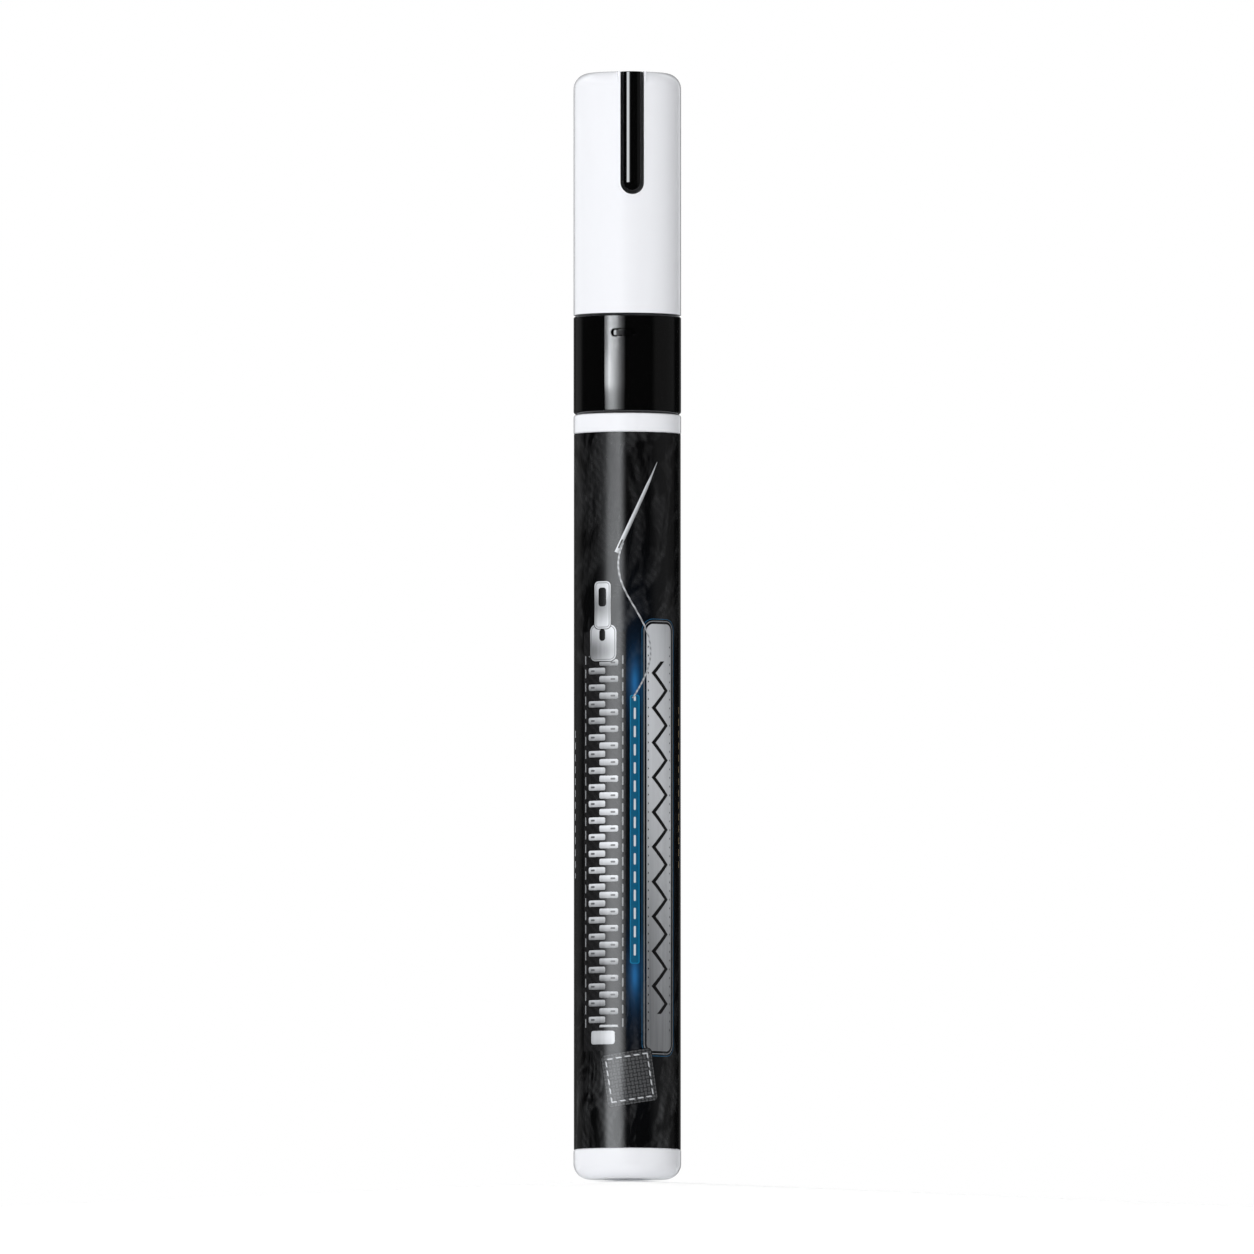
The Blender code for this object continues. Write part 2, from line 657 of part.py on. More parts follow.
def make_mixing_balls():
    """Two steel balls on the barrel's floor: side by side where the bore has room, else one on the other."""
    apart = 2 * BALL_RADIUS + BALL_GAP
    reach = min(apart / 2, BARREL_BORE - BALL_RADIUS - BALL_GAP)
    climb = math.sqrt(max(apart**2 - (2 * reach) ** 2, 0.0))
    foot = BARREL_FLOOR + BALL_RADIUS + FACE_GAP
    for name, x, z in (("mixing_ball_1", -reach, foot), ("mixing_ball_2", reach, foot + climb)):
        shape = bmesh.new()
        bmesh.ops.create_uvsphere(shape, u_segments=BALL_SEGMENTS, v_segments=BALL_RINGS, radius=BALL_RADIUS)
        mesh = bpy.data.meshes.new(name)
        shape.to_mesh(mesh)
        shape.free()
        ball = linked(name, mesh)
        ball.location = (x, 0.0, z)
        finish(ball, BALL_STEEL)


def make_cap_shell(carrier):
    """The white cap: a slot down its front for the rib, with a thin raised lip round it."""
    cap_bead = NECK_RADIUS + NECK_BEAD_HEIGHT + FIT_GAP
    bead_height = CAP_BORE - cap_bead
    outline = [
        (0.0, PEN_TOP),
        (BODY_RADIUS, PEN_TOP, CROWN_FILLET),
        (BODY_RADIUS, CAP_RIM),
        (CAP_BORE + CAP_RIM_CHAMFER, CAP_RIM),
        (CAP_BORE, CAP_RIM + CAP_RIM_CHAMFER),
        *reversed(bead(CAP_BORE, CAP_BEAD_UP, CAP_BEAD_WIDTH, -bead_height)),
        (CAP_BORE, CROWN_FOOT, CROWN_INNER_FILLET),
        (BOSS_RADIUS, CROWN_FOOT),
        (BOSS_RADIUS, BOSS_FOOT),
        (STUD_RADIUS + FIT_GAP, BOSS_FOOT),
        (STUD_RADIUS + FIT_GAP, CROWN_FOOT),
        (0.0, CROWN_FOOT),
    ]
    cap = turned("cap_shell", outline, SHELL_STEPS, ring=False)
    slot_width = RIB_WIDTH + 2 * SLOT_GAP
    lip_top = PEN_TOP - LIP_DROP
    outside = BODY_RADIUS + LIP_PROUD
    in_wall = CAP_BORE + EMBED
    in_crown = BODY_RADIUS - CROWN_FILLET - EMBED
    lip_ring = [
        (outside, lip_top),
        (outside, RIB_FOOT - RIB_WIDTH),
        (in_wall, RIB_FOOT - RIB_WIDTH),
        (in_wall, CROWN_FOOT + EMBED),
        (in_crown, CROWN_FOOT + EMBED),
        (in_crown, lip_top),
    ]
    lip = turned("cap_lip", lip_ring, SHELL_STEPS)
    lip_foot = RIB_FOOT - SLOT_GAP - LIP_WIDTH
    lip_front = pill(slot_width + 2 * LIP_WIDTH, lip_foot, PEN_TOP + OVERSHOOT)
    combine(lip, flat_prism("cap_lip_front", lip_front, -BODY_RADIUS - OVERSHOOT, 0.0), "INTERSECT")
    combine(cap, lip, "UNION")
    slot = pill(slot_width, RIB_FOOT - SLOT_GAP, PEN_TOP + OVERSHOOT)
    slot_back = EMBED - math.sqrt(CAP_BORE**2 - (slot_width / 2) ** 2)
    combine(cap, flat_prism("cap_slot", slot, -BODY_RADIUS - OVERSHOOT, slot_back), "DIFFERENCE")
    finish(cap, WHITE_PLASTIC, carrier)


def make_colour_rib(carrier):
    """The black rib: a half-round bead in the cap's slot, with a flange behind the cap's wall."""
    radius = RIB_WIDTH / 2
    middle = -(BODY_RADIUS + RIB_PROUD - radius)
    rod = [(0.0, RIB_TOP), (radius, RIB_TOP), *quarter_round(radius, RIB_FOOT)]
    rib = turned("colour_rib", rod, CORE_STEPS, ring=False)
    rib.location.y = middle
    low = (-RIB_WIDTH, middle - RIB_WIDTH, RIB_FOOT - OVERSHOOT)
    combine(rib, box("rib_front", low, (RIB_WIDTH, RIB_BACK, PEN_TOP)), "INTERSECT")
    foot = RIB_FOOT - RIB_FLANGE_LAP
    top = CROWN_FOOT - CROWN_INNER_FILLET
    outer_side = [(RIB_FLANGE_OUTER, top), (RIB_FLANGE_OUTER, foot)]
    inner_side = [(RIB_FLANGE_INNER, foot), (RIB_FLANGE_INNER, top)]
    flange = turned("rib_flange", outer_side + inner_side, SHELL_STEPS)
    reach = radius + RIB_FLANGE_OVERHANG
    front_box = box("rib_flange_front", (-reach, -BODY_RADIUS, foot - OVERSHOOT), (reach, 0.0, PEN_TOP))
    combine(flange, front_box, "INTERSECT")
    combine(rib, flange, "UNION")
    finish(rib, BLACK_PLASTIC, carrier)


def make_inner_cap(carrier):
    """The soft cup in the cap that seals on the holder's land, held by a stud in the crown's boss."""
    stud_top = CROWN_FOOT - STUD_END_GAP
    outline = [
        (0.0, stud_top),
        (STUD_RADIUS, stud_top),
        (STUD_RADIUS, CEILING_TOP),
        (INNER_CAP_RADIUS, CEILING_TOP, SMALL_FILLET),
        (INNER_CAP_RADIUS, INNER_CAP_MOUTH),
        (INNER_CAP_BORE + EDGE_FILLET, INNER_CAP_MOUTH),
        (INNER_CAP_BORE, INNER_CAP_MOUTH + EDGE_FILLET),
        (INNER_CAP_BORE, CEILING_FOOT, EDGE_FILLET),
        (0.0, CEILING_FOOT),
    ]
    finish(turned("inner_cap", outline, CORE_STEPS, ring=False), SEAL_CUP_PLASTIC, carrier)


clear_scene()
PARTS = new_collection("fabric_marker")
CUTTERS = new_collection("cutters")
front_carrier = carrier_empty("front_section", WINDOW_ANGLE)
cap_carrier = carrier_empty("cap_slide", RIB_ANGLE)
nib_carrier = carrier_empty("nib_slide")
make_barrel()
make_label()
make_collar(front_carrier)
make_nib_holder(front_carrier)
make_nib(nib_carrier)
make_valve_body()
make_valve_stem(nib_carrier)
make_stem_seal(nib_carrier)
make_spring_cup()
make_valve_spring()
make_mixing_balls()
make_cap_shell(cap_carrier)
make_colour_rib(cap_carrier)
make_inner_cap(cap_carrier)
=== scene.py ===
"""Fabric repair marker: the finish of every piece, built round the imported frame.

Everything is in metres in the frame's own coordinates: +Z up the pen's axis from the foot, -Y to the front.
"""

import math
from functools import partialmethod

import bpy
import numpy as np
from mathutils import Matrix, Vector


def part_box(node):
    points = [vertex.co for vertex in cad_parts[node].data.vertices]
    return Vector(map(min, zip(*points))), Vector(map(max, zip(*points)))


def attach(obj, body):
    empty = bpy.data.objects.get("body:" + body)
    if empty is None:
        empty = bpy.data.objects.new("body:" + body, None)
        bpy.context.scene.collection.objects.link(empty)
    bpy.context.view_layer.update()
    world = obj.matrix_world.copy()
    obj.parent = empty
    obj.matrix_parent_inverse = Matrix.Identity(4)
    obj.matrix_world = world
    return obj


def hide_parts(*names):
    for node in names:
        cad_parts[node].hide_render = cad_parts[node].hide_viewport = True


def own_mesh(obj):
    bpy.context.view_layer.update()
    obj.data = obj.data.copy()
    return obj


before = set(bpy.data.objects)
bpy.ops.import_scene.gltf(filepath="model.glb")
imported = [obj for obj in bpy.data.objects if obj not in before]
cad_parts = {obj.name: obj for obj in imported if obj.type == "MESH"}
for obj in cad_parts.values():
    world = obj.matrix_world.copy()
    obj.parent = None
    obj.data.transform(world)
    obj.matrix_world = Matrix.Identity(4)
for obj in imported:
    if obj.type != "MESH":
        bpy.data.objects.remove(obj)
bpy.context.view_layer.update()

bl_info = {
    "name": "Fabric repair marker",
    "version": (1, 0, 0),
    "blender": (4, 5, 0),
    "location": "3D View > Sidebar > Marker",
    "description": "Builds a valve-action fabric marker piece by piece, with its label, studio and camera",
    "category": "Add Mesh",
}

MM = 0.001

# Places read from the frame
BARREL_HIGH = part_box("barrel")[1]
LABEL_LOW, LABEL_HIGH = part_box("label_sleeve")
COLLAR_LOW, COLLAR_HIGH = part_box("front_collar")
HOLDER_LOW, HOLDER_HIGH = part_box("nib_holder")
NIB_LOW, NIB_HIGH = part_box("nib")
CAP_LOW, CAP_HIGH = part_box("cap_shell")
RIB_LOW, RIB_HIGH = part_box("colour_rib")
INNER_CAP_LOW, INNER_CAP_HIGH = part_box("inner_cap")
VALVE_LOW, VALVE_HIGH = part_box("valve_body")
STEM_LOW, STEM_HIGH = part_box("valve_stem")
SEAL_LOW, SEAL_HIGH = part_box("stem_seal")
CUP_LOW, CUP_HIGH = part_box("spring_cup")

# Radii and heights inside the pen, as the frame's solids have them
FLOOR = 1.6 * MM
PLAY = 0.05 * MM
BARREL_BORE = BARREL_HIGH.x - 1.1 * MM
SNAP_HEIGHT = HOLDER_LOW.z + 3.2 * MM
CAP_BORE = BARREL_HIGH.x - 1.2 * MM
NECK = CAP_BORE - 0.3 * MM
NECK_BEAD_HEIGHT = COLLAR_HIGH.z + 3.4 * MM
LAND = NECK - 1.3 * MM
SPIGOT = BARREL_BORE - 0.12 * MM
GUIDE = NIB_HIGH.x + PLAY
CROWN_INSIDE = INNER_CAP_HIGH.z + 0.2 * MM
RIB_FOOT = RIB_LOW.z + 1.2 * MM

# How far cutting shapes reach past what they cut
BEYOND = 1.0 * MM

# How finely surfaces are drawn
SEGMENTS = 192
CORE_SEGMENTS = 96
GLOSS_SEGMENTS = 384
ARC_STEPS = 8
ARC_STEP = 0.12 * MM
HOLD = 0.03 * MM
LONG_RUN = 8 * HOLD
SHARP_ANGLE = math.radians(32)
JOIN_DIGITS = 5
LABEL_BANDS = 30
LATCH_STEPS = 48
CARD_STEPS = 32
DISC_SEGMENTS = 48
FLOOR_SEGMENTS = 64

# How the rib and the window are turned on the barrel, and how far the window lies below the collar's top
RIB_TURN = math.radians(5.3)
WINDOW_TURN = math.radians(-5.1)
WINDOW_DROP = 2.45 * MM

# Lamps: name, azimuth and elevation in degrees, distance, size and watts. They are broad and give the matt part of
# the light. They face this height, and glossy surfaces don't see them
LAMP_AIM = 70.0 * MM
LAMPS = (
    ("key", -55, 14, 1.5, 1.3, 5.0),
    ("front", 0, 2, 1.8, 1.2, 20.8),
    ("top", -10, 80, 1.6, 1.4, 8.5),
    ("back_left", -130, 20, 1.8, 1.4, 14.0),
    ("back_right", 168, 20, 1.8, 1.4, 6.5),
)

# Light cards: name, the pieces that see it, reach, (azimuth in degrees, strength) lines round the pen and (height in
# millimetres, share) lines up the card
CARD_TINT = (0.94, 0.97, 1.0, 1.0)
WHOLE = ((-250, 1.0), (1100, 1.0))
LEFT = ((-74, 0.0), (-62, 0.12), (-55, 0.35), (-50, 0.6))
RIGHT = ((50, 0.04), (70, 0.09), (95, 0.09), (110, 0.0))
CARDS = (
    ("softbox_sleeve", "printed", 1.0,
     ((-52, 0.0), (-47, 2.2), (-41, 4.2), (-33, 4.9), (-22, 4.8), (-16, 4.3), (-11, 2.6), (-6, 0.7), (-2, 0.0)),
     ((-250, 1.05), (100, 1.0), (128, 0.85), (150, 0.15), (165, 0.0))),
    ("softbox_neck", "printed", 1.02,
     ((-48, 0.0), (-42, 0.8), (-34, 2.0), (-26, 2.6), (-20, 3.8), (-17, 4.1), (-13, 3.0), (-8, 1.0), (-3, 0.0)),
     ((110, 0.0), (128, 0.15), (150, 0.9), (1100, 0.8))),
    ("softbox_low", "dark", 1.0,
     ((-49, 1.2), (-43, 3.4), (-37, 5.4), (-31, 5.4), (-25, 3.9), (-19, 1.9), (-12, 0.7), (-5, 0.0)),
     ((149, 0.9), (153.4, 1.0))),
    ("softbox_middle", "dark", 1.0,
     ((-50, 4.4), (-46, 6.6), (-43, 8.5), (-40, 13.5), (-35, 10.8), (-30, 8.2), (-24, 5.2), (-17, 2.4), (-11, 0.9),
      (-4, 0.0)),
     ((153.4, 1.0), (157.0, 0.95), (159.5, 0.0))),
    ("softbox_high", "dark", 1.02,
     ((-50, 2.0), (-46, 3.2), (-43, 5.2), (-40, 8.8), (-37, 9.6), (-34, 9.0), (-31, 7.9), (-27, 7.2), (-24, 6.6),
      (-21, 4.8), (-17, 2.3), (-11, 0.9), (-4, 0.0)),
     ((158.1, 0.0), (160.6, 1.0), (165.0, 0.95), (169.0, 0.75))),
    ("softbox_cap", "dark", 1.0,
     ((-50, 0.0), (-47, 7.0), (-44, 9.5), (-35, 10.5), (-27, 9.5), (-22, 5.0), (-17, 1.0), (-13, 0.0)),
     ((168, 1.0), (1100, 1.0))),
    ("left_card", "dark", 1.04, LEFT, WHOLE),
    ("right_card", "dark", 1.0, RIGHT, WHOLE),
    ("left_card_for_print", "printed", 1.04, LEFT, WHOLE),
    ("right_card_for_print", "printed", 1.0, RIGHT, WHOLE),
    ("left_wall", "white", 0.9, ((-153, 0.0), (-150, 0.9), (-100, 0.95), (-16, 1.1), (3, 0.0)), WHOLE),
    ("right_wall", "white", 0.9,
     ((20, 0.0), (30, 0.3), (48, 1.0), (76, 1.0), (98, 0.4), (112, 0.15), (126, 0.2), (138, 0.4), (145, 0.5),
      (149, 1.0), (156, 1.0), (158, 0.0)), WHOLE),
    ("low_wall", "white", 0.88, ((168, 0.0), (174, 0.5), (186, 0.5), (192, 0.0)), ((-260, 1.0), (-8, 1.0))),
)

# Level discs for the white pieces: name, height and (distance from the axis, strength) lines, in millimetres
DISCS = (
    ("ceiling_card", 1100, ((0, 0.35), (1500, 0.35), (1900, 0.0))),
    ("ground_card", -260, ((0, 1.6), (250, 1.6), (700, 0.8), (1500, 0.3), (1900, 0.0))),
)

# The materials by slot, once they are made
FINISHES = {}


def length_setting(name, description, default):
    """A setting that is a length."""
    return bpy.props.FloatProperty(
        name=name, description=description, default=default, subtype="DISTANCE", unit="LENGTH")


def colour_setting(name, description, default):
    """A setting that is a colour, linear."""
    return bpy.props.FloatVectorProperty(name=name, description=description, default=default, subtype="COLOR")


class MarkerSizes(bpy.types.PropertyGroup):
    """Sizes of the outer pieces."""

    body_radius: length_setting("Body radius", "Radius of the barrel, the collar and the cap", BARREL_HIGH.x)
    foot_fillet: length_setting("Foot fillet", "Rounding of the barrel's foot", 2.0 * MM)
    crown_fillet: length_setting("Crown fillet", "Rounding of the cap's crown", 2.0 * MM)
    edge_round: length_setting("Edge rounding", "Rounding of the moulded edges", 0.1 * MM)
    collar_chamfer: length_setting("Collar chamfer", "Bevel at the collar's two ends", 0.3 * MM)
    rib_width: length_setting("Rib width", "Width of the black rib in the cap", 2.9 * MM)
    lip_height: length_setting("Lip height", "How far the lip round the rib stands out of the cap", 0.06 * MM)


class MarkerColours(bpy.types.PropertyGroup):
    """Colours of the finishes."""

    white_plastic: colour_setting("White plastic", "Barrel and cap", (0.86, 0.87, 0.905))
    black_plastic: colour_setting("Black plastic", "Collar, rib and nose", (0.0013, 0.0013, 0.0014))
    film: colour_setting("Film", "Ground colour of the label", (0.0022, 0.0022, 0.0024))
    silver: colour_setting("Silver ink", "Zip and panel of the label", (0.62, 0.64, 0.67))
    teal: colour_setting("Teal ink", "Strip of the label", (0.004, 0.085, 0.17))
    felt: colour_setting("Felt", "Nib", (0.80, 0.77, 0.70))
    natural: colour_setting("Natural plastic", "Valve and spring cup", (0.78, 0.78, 0.75))
    steel: colour_setting("Steel", "Spring and mixing balls", (0.62, 0.62, 0.63))
    rubber: colour_setting("Rubber", "Washer on the valve's stem", (0.02, 0.02, 0.02))


class StudioSettings(bpy.types.PropertyGroup):
    """Camera and light."""

    distance: length_setting("Camera distance", "From the pen's axis", 6.0)
    frame_width: length_setting("Frame width", "Width of the picture at the pen", 158.6 * MM)
    aim_height: length_setting("Aim height", "Height of the picture's middle", 69.9 * MM)
    rise: bpy.props.FloatProperty(
        name="Upward look", description="How far from level the camera looks up",
        default=math.radians(2.8), subtype="ANGLE", unit="ROTATION")
    ambient: bpy.props.FloatProperty(
        name="Ambient", description="Strength of the even light from all round", default=0.27)


def unit(vectors):
    """Vectors in the last axis, at length 1."""
    return vectors / np.linalg.norm(vectors, axis=-1, keepdims=True)


def all_round(count):
    """This many angles, evenly spaced all the way round."""
    return np.arange(count) * math.tau / count


def round_grid(radius, height, angles):
    """Points (radius sin a, -radius cos a, height): a row for each radius and height, a column for each angle a."""
    return np.stack(np.broadcast_arrays(radius * np.sin(angles), -radius * np.cos(angles), height), axis=-1)


def rounded_profile(corners):
    """Points (radius, height) of an outline. A corner given as (radius, height, fillet) becomes an arc that is
    tangent to both its neighbours: its centre lies on the corner's bisector, fillet / sin(half angle) away. Each
    long straight run gets a point just inside both its ends, which holds its shading straight."""
    points = []
    for place, (*here, fillet) in enumerate((*corner, 0.0)[:3] for corner in corners):
        here = np.array(here)
        if not fillet:
            points.append(here[None])
            continue
        back, ahead = (unit(np.array(corners[other % len(corners)][:2]) - here) for other in (place - 1, place + 1))
        half = math.acos(np.clip(back @ ahead, -1, 1)) / 2
        centre = here + unit(back + ahead) * fillet / math.sin(half)
        start, end = (here + side * fillet / math.tan(half) - centre for side in (back, ahead))
        first = math.atan2(start[1], start[0])
        turn = math.remainder(math.atan2(end[1], end[0]) - first, math.tau)
        steps = max(ARC_STEPS, math.ceil(abs(turn) * fillet / ARC_STEP))
        angles = first + turn * np.linspace(0, 1, steps + 1)
        points.append(centre + fillet * np.stack([np.cos(angles), np.sin(angles)], axis=1))
    outline = np.concatenate(points)
    run = np.roll(outline, -1, axis=0) - outline
    length = np.linalg.norm(run, axis=1, keepdims=True)
    held = outline[:, None] + run[:, None] * np.stack([0 * length, HOLD / length, 1 - HOLD / length], axis=1)
    wanted = np.repeat(length > LONG_RUN, 3, axis=1)
    wanted[:, 0] = True
    if outline[0, 0] < HOLD and outline[-1, 0] < HOLD:
        wanted[-1, 1:] = False
    return held[wanted]


def surface(name, points, wrap_rows=False, wrap_columns=True, inside_out=False):
    """A piece at the origin from a grid of points (row, column, xyz), with a face in each cell between neighbouring
    rows and columns. Points that are the same to these digits of a millimetre become one vertex, so a row that meets
    in a pole gives triangles. It is shaded smooth between sharp corners."""
    flat = points.reshape(-1, 3)
    places = (flat / MM).round(JOIN_DIGITS) + 0.0
    _, first, index = np.unique(places, axis=0, return_index=True, return_inverse=True)
    index = index.reshape(points.shape[:2])
    rows = np.vstack([index, index[:1]]) if wrap_rows else index
    both = np.hstack([rows, rows[:, :1]]) if wrap_columns else rows
    faces = np.stack([both[:-1, :-1], both[:-1, 1:], both[1:, 1:], both[1:, :-1]], axis=-1).reshape(-1, 4)
    if inside_out:
        faces = faces[:, ::-1]
    repeats = faces == np.roll(faces, 1, axis=1)
    pole = repeats.any(axis=1)
    triangles = faces[pole][~repeats[pole]].reshape(-1, 3)
    mesh = bpy.data.meshes.new(name)
    mesh.from_pydata(flat[first].tolist(), [], faces[~pole].tolist() + triangles.tolist())
    mesh.validate()
    mesh.shade_smooth()
    mesh.set_sharp_from_angle(angle=SHARP_ANGLE)
    made = bpy.data.objects.new(name, mesh)
    bpy.context.scene.collection.objects.link(made)
    return made


def turned(name, corners, segments=SEGMENTS):
    """A turned piece: the rounded outline, listed down the outer side, carried all the way round the axis. A solid's
    outline starts and ends on the axis, and a ring's closes on itself."""
    outline = rounded_profile(corners)
    ring = outline[0, 0] > 0
    return surface(name, round_grid(outline[:, :1], outline[:, 1:], all_round(segments)), wrap_rows=ring)


def tube(name, path, radius, sides):
    """A round tube of this radius along the path's points: each ring of the grid lies in the plane square to the
    path, on the two directions across it, and the ends close on the path's own first and last points."""
    along = unit(np.gradient(path, axis=0))
    across = unit(np.cross(along, [0.0, 0.0, 1.0]))
    up = np.cross(across, along)
    angles = all_round(sides)[:, None]
    rings = path[:, None] + radius * (across[:, None] * np.cos(angles) + up[:, None] * np.sin(angles))
    ends = np.repeat(path[[0, -1]][:, None], sides, axis=1)
    return surface(name, np.concatenate([ends[:1], rings, ends[1:]]))


def ball(name, centre, radius, segments=48, rings=24):
    """A sphere: latitude runs from the top pole to the bottom one, longitude all the way round."""
    latitude = np.linspace(0, math.pi, rings + 1)[:, None]
    points = round_grid(np.sin(latitude), np.cos(latitude), all_round(segments))
    return surface(name, np.array(centre) + radius * points)


def prism(name, outline, near, far, turn=0.0):
    """A slab between y = near and y = far on a closed (x, z) outline listed anticlockwise, turned about the axis."""
    outline = np.asarray(outline)
    middle = np.tile(outline.mean(axis=0), (len(outline), 1))
    layers = ((middle, near), (outline, near), (outline, far), (middle, far))
    points = np.stack([np.insert(shape, 1, y, axis=1) for shape, y in layers])
    return turn_about_axis(surface(name, points, inside_out=True), turn)


def box_outline(half_width, foot, top):
    """An upright (x, z) rectangle, anticlockwise."""
    return [(-half_width, foot), (half_width, foot), (half_width, top), (-half_width, top)]


def pill_outline(width, foot, top, steps=24):
    """An upright (x, z) outline, anticlockwise: a half-round foot and a flat top."""
    radius = width / 2
    angles = math.pi + np.linspace(0, math.pi, steps + 1)
    arc = np.stack([radius * np.cos(angles), foot + radius + radius * np.sin(angles)], axis=1)
    return np.concatenate([arc, [[radius, top], [-radius, top]]])


def slot_outline(width, height, middle, steps=16):
    """A level (x, z) outline with half-round ends, anticlockwise."""
    radius = height / 2
    angles = np.linspace(-math.pi / 2, math.pi / 2, steps + 1)
    right = np.stack([width / 2 - radius + radius * np.cos(angles), radius * np.sin(angles)], axis=1)
    return np.concatenate([right, -right]) + (0.0, middle)


def bead(radius, middle, width, height, flat=0.5, soft=0.1 * MM):
    """Corners of a soft bead on the outer side, from its upper edge down, that is flat over this share of its width.
    With a negative width they run from its lower edge up."""
    places = ((0.0, width / 2), (height, flat * width / 2), (height, -flat * width / 2), (0.0, -width / 2))
    return [(radius + out, middle + up, soft) for out, up in places]


def crossed_cuts(name, reach, half_width, foot, top, turn=0.0):
    """Steps for carve that cut two bars through a piece, one along x and one along y, which cross on the axis."""
    spans = ((reach, half_width), (half_width, reach))
    bars = (prism(f"{name}_{place}", box_outline(x, foot, top), -y, y, turn) for place, (x, y) in enumerate(spans))
    return [(bar, "DIFFERENCE") for bar in bars]


def turn_about_axis(piece, angle):
    """Turns a piece's mesh about the pen's axis."""
    piece.data.transform(Matrix.Rotation(angle, 4, "Z"))
    return piece


def carve(piece, *steps):
    """Joins, cuts or intersects a piece with other shapes in turn, settles the result and removes those shapes."""
    for other, operation in steps:
        change = piece.modifiers.new(other.name, "BOOLEAN")
        change.operation = operation
        change.object = other
    bpy.context.view_layer.update()
    graph = bpy.context.evaluated_depsgraph_get()
    mesh = bpy.data.meshes.new_from_object(piece.evaluated_get(graph))
    piece.modifiers.clear()
    piece.data = mesh
    mesh.name = piece.name
    mesh.shade_smooth()
    mesh.set_sharp_from_angle(angle=SHARP_ANGLE)
    for other, _ in steps:
        bpy.data.objects.remove(other)
    return piece


def rows_of(values, name, width, kind=np.float32):
    """What foreach_get reads of a mesh's values, as rows of this width."""
    rows = np.empty(len(values) * width, kind)
    values.foreach_get(name, rows)
    return rows.reshape(-1, width)


def keep_round(piece, radius, tolerance=0.01 * MM, slant=math.radians(1.5)):
    """Gives every corner on the pen's upright outer side the normal of a true cylinder, which points straight away
    from the axis, where a cut has left long thin faces that would shade unevenly."""
    mesh = piece.data
    normals = rows_of(mesh.corner_normals, "vector", 3)
    vertex = rows_of(mesh.loops, "vertex_index", 1, np.int32)[:, 0]
    outward = rows_of(mesh.vertices, "co", 3)[vertex] * (1.0, 1.0, 0.0)
    reach = np.linalg.norm(outward, axis=1, keepdims=True)
    outward /= np.maximum(reach, HOLD)
    upright = (normals * outward).sum(axis=1) > math.cos(slant)
    outer = (reach[:, 0] > radius - tolerance) & upright
    normals[outer] = outward[outer]
    mesh.normals_split_custom_set(normals.tolist())


def stands_for(piece, node, body, slot):
    """The piece rides on its body, takes the node's place and gets the slot's finish."""
    piece.data.materials.clear()
    piece.data.materials.append(finishes()[slot])
    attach(piece, body)
    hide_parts(node)


class Nodes:
    """A node tree, with a helper that adds a node and fills its inputs."""

    def __init__(self, tree):
        self.tree = tree

    def node(self, kind, *first, **named):
        """A shader node of this kind. Its inputs are filled in order and by name, as fill does."""
        made = self.tree.nodes.new("ShaderNode" + kind)
        for place, value in enumerate(first):
            self.fill(made.inputs[place], value)
        for name, value in named.items():
            self.fill(made.inputs[name.replace("_", " ")], value)
        return made

    def fill(self, socket, value):
        """Links a field, a socket or a node's first output to a socket, or writes a number or colour on it."""
        if isinstance(value, Field):
            value = value.socket
        elif isinstance(value, bpy.types.Node):
            value = value.outputs[0]
        if isinstance(value, bpy.types.NodeSocket):
            self.tree.links.new(value, socket)
        else:
            socket.default_value = value


class Field:
    """A number that varies over a surface, worked out by nodes. Arithmetic on it adds Math nodes."""

    def __init__(self, nodes, socket):
        self.nodes = nodes
        self.socket = socket

    def calculate(self, operation, *others):
        """The result of a Math node on this field and these others."""
        made = self.nodes.node("Math", self, *others)
        made.operation = operation
        return Field(self.nodes, made.outputs[0])

    __add__ = __radd__ = partialmethod(calculate, "ADD")
    __sub__ = partialmethod(calculate, "SUBTRACT")
    __mul__ = __rmul__ = partialmethod(calculate, "MULTIPLY")
    __truediv__ = partialmethod(calculate, "DIVIDE")
    __neg__ = partialmethod(calculate, "MULTIPLY", -1.0)
    above = partialmethod(calculate, "GREATER_THAN")
    below = partialmethod(calculate, "LESS_THAN")
    least = partialmethod(calculate, "MINIMUM")
    most = partialmethod(calculate, "MAXIMUM")
    power = partialmethod(calculate, "POWER")
    bearing = partialmethod(calculate, "ARCTAN2")
    size = partialmethod(calculate, "ABSOLUTE")
    sine = partialmethod(calculate, "SINE")
    whole = partialmethod(calculate, "FLOOR")
    part = partialmethod(calculate, "FRACT")

    def __rsub__(self, number):
        """A number minus this field."""
        return -self + number

    def length_with(self, other):
        """The length of the vector that this field and another make."""
        return (self * self + other * other).calculate("SQRT")

    def along(self, points):
        """Straight lines between these (value, result) points."""
        first, last = points[0][0], points[-1][0]
        peak = max(result for _, result in points)
        made = self.nodes.node("FloatCurve", Value=(self - first) / (last - first))
        curve = made.mapping.curves[0]
        while len(curve.points) < len(points):
            curve.points.new(0.5, 0.5)
        for point, (value, result) in zip(curve.points, points):
            point.location = ((value - first) / (last - first), result / peak)
            point.handle_type = "VECTOR"
        made.mapping.update()
        return Field(self.nodes, made.outputs[0]) * peak

    def ramp(self, start, end):
        """A smooth step that is 0 at start and 1 at end."""
        made = self.nodes.node("MapRange", Value=self, From_Min=start, From_Max=end)
        made.interpolation_type = "SMOOTHSTEP"
        return Field(self.nodes, made.outputs["Result"])


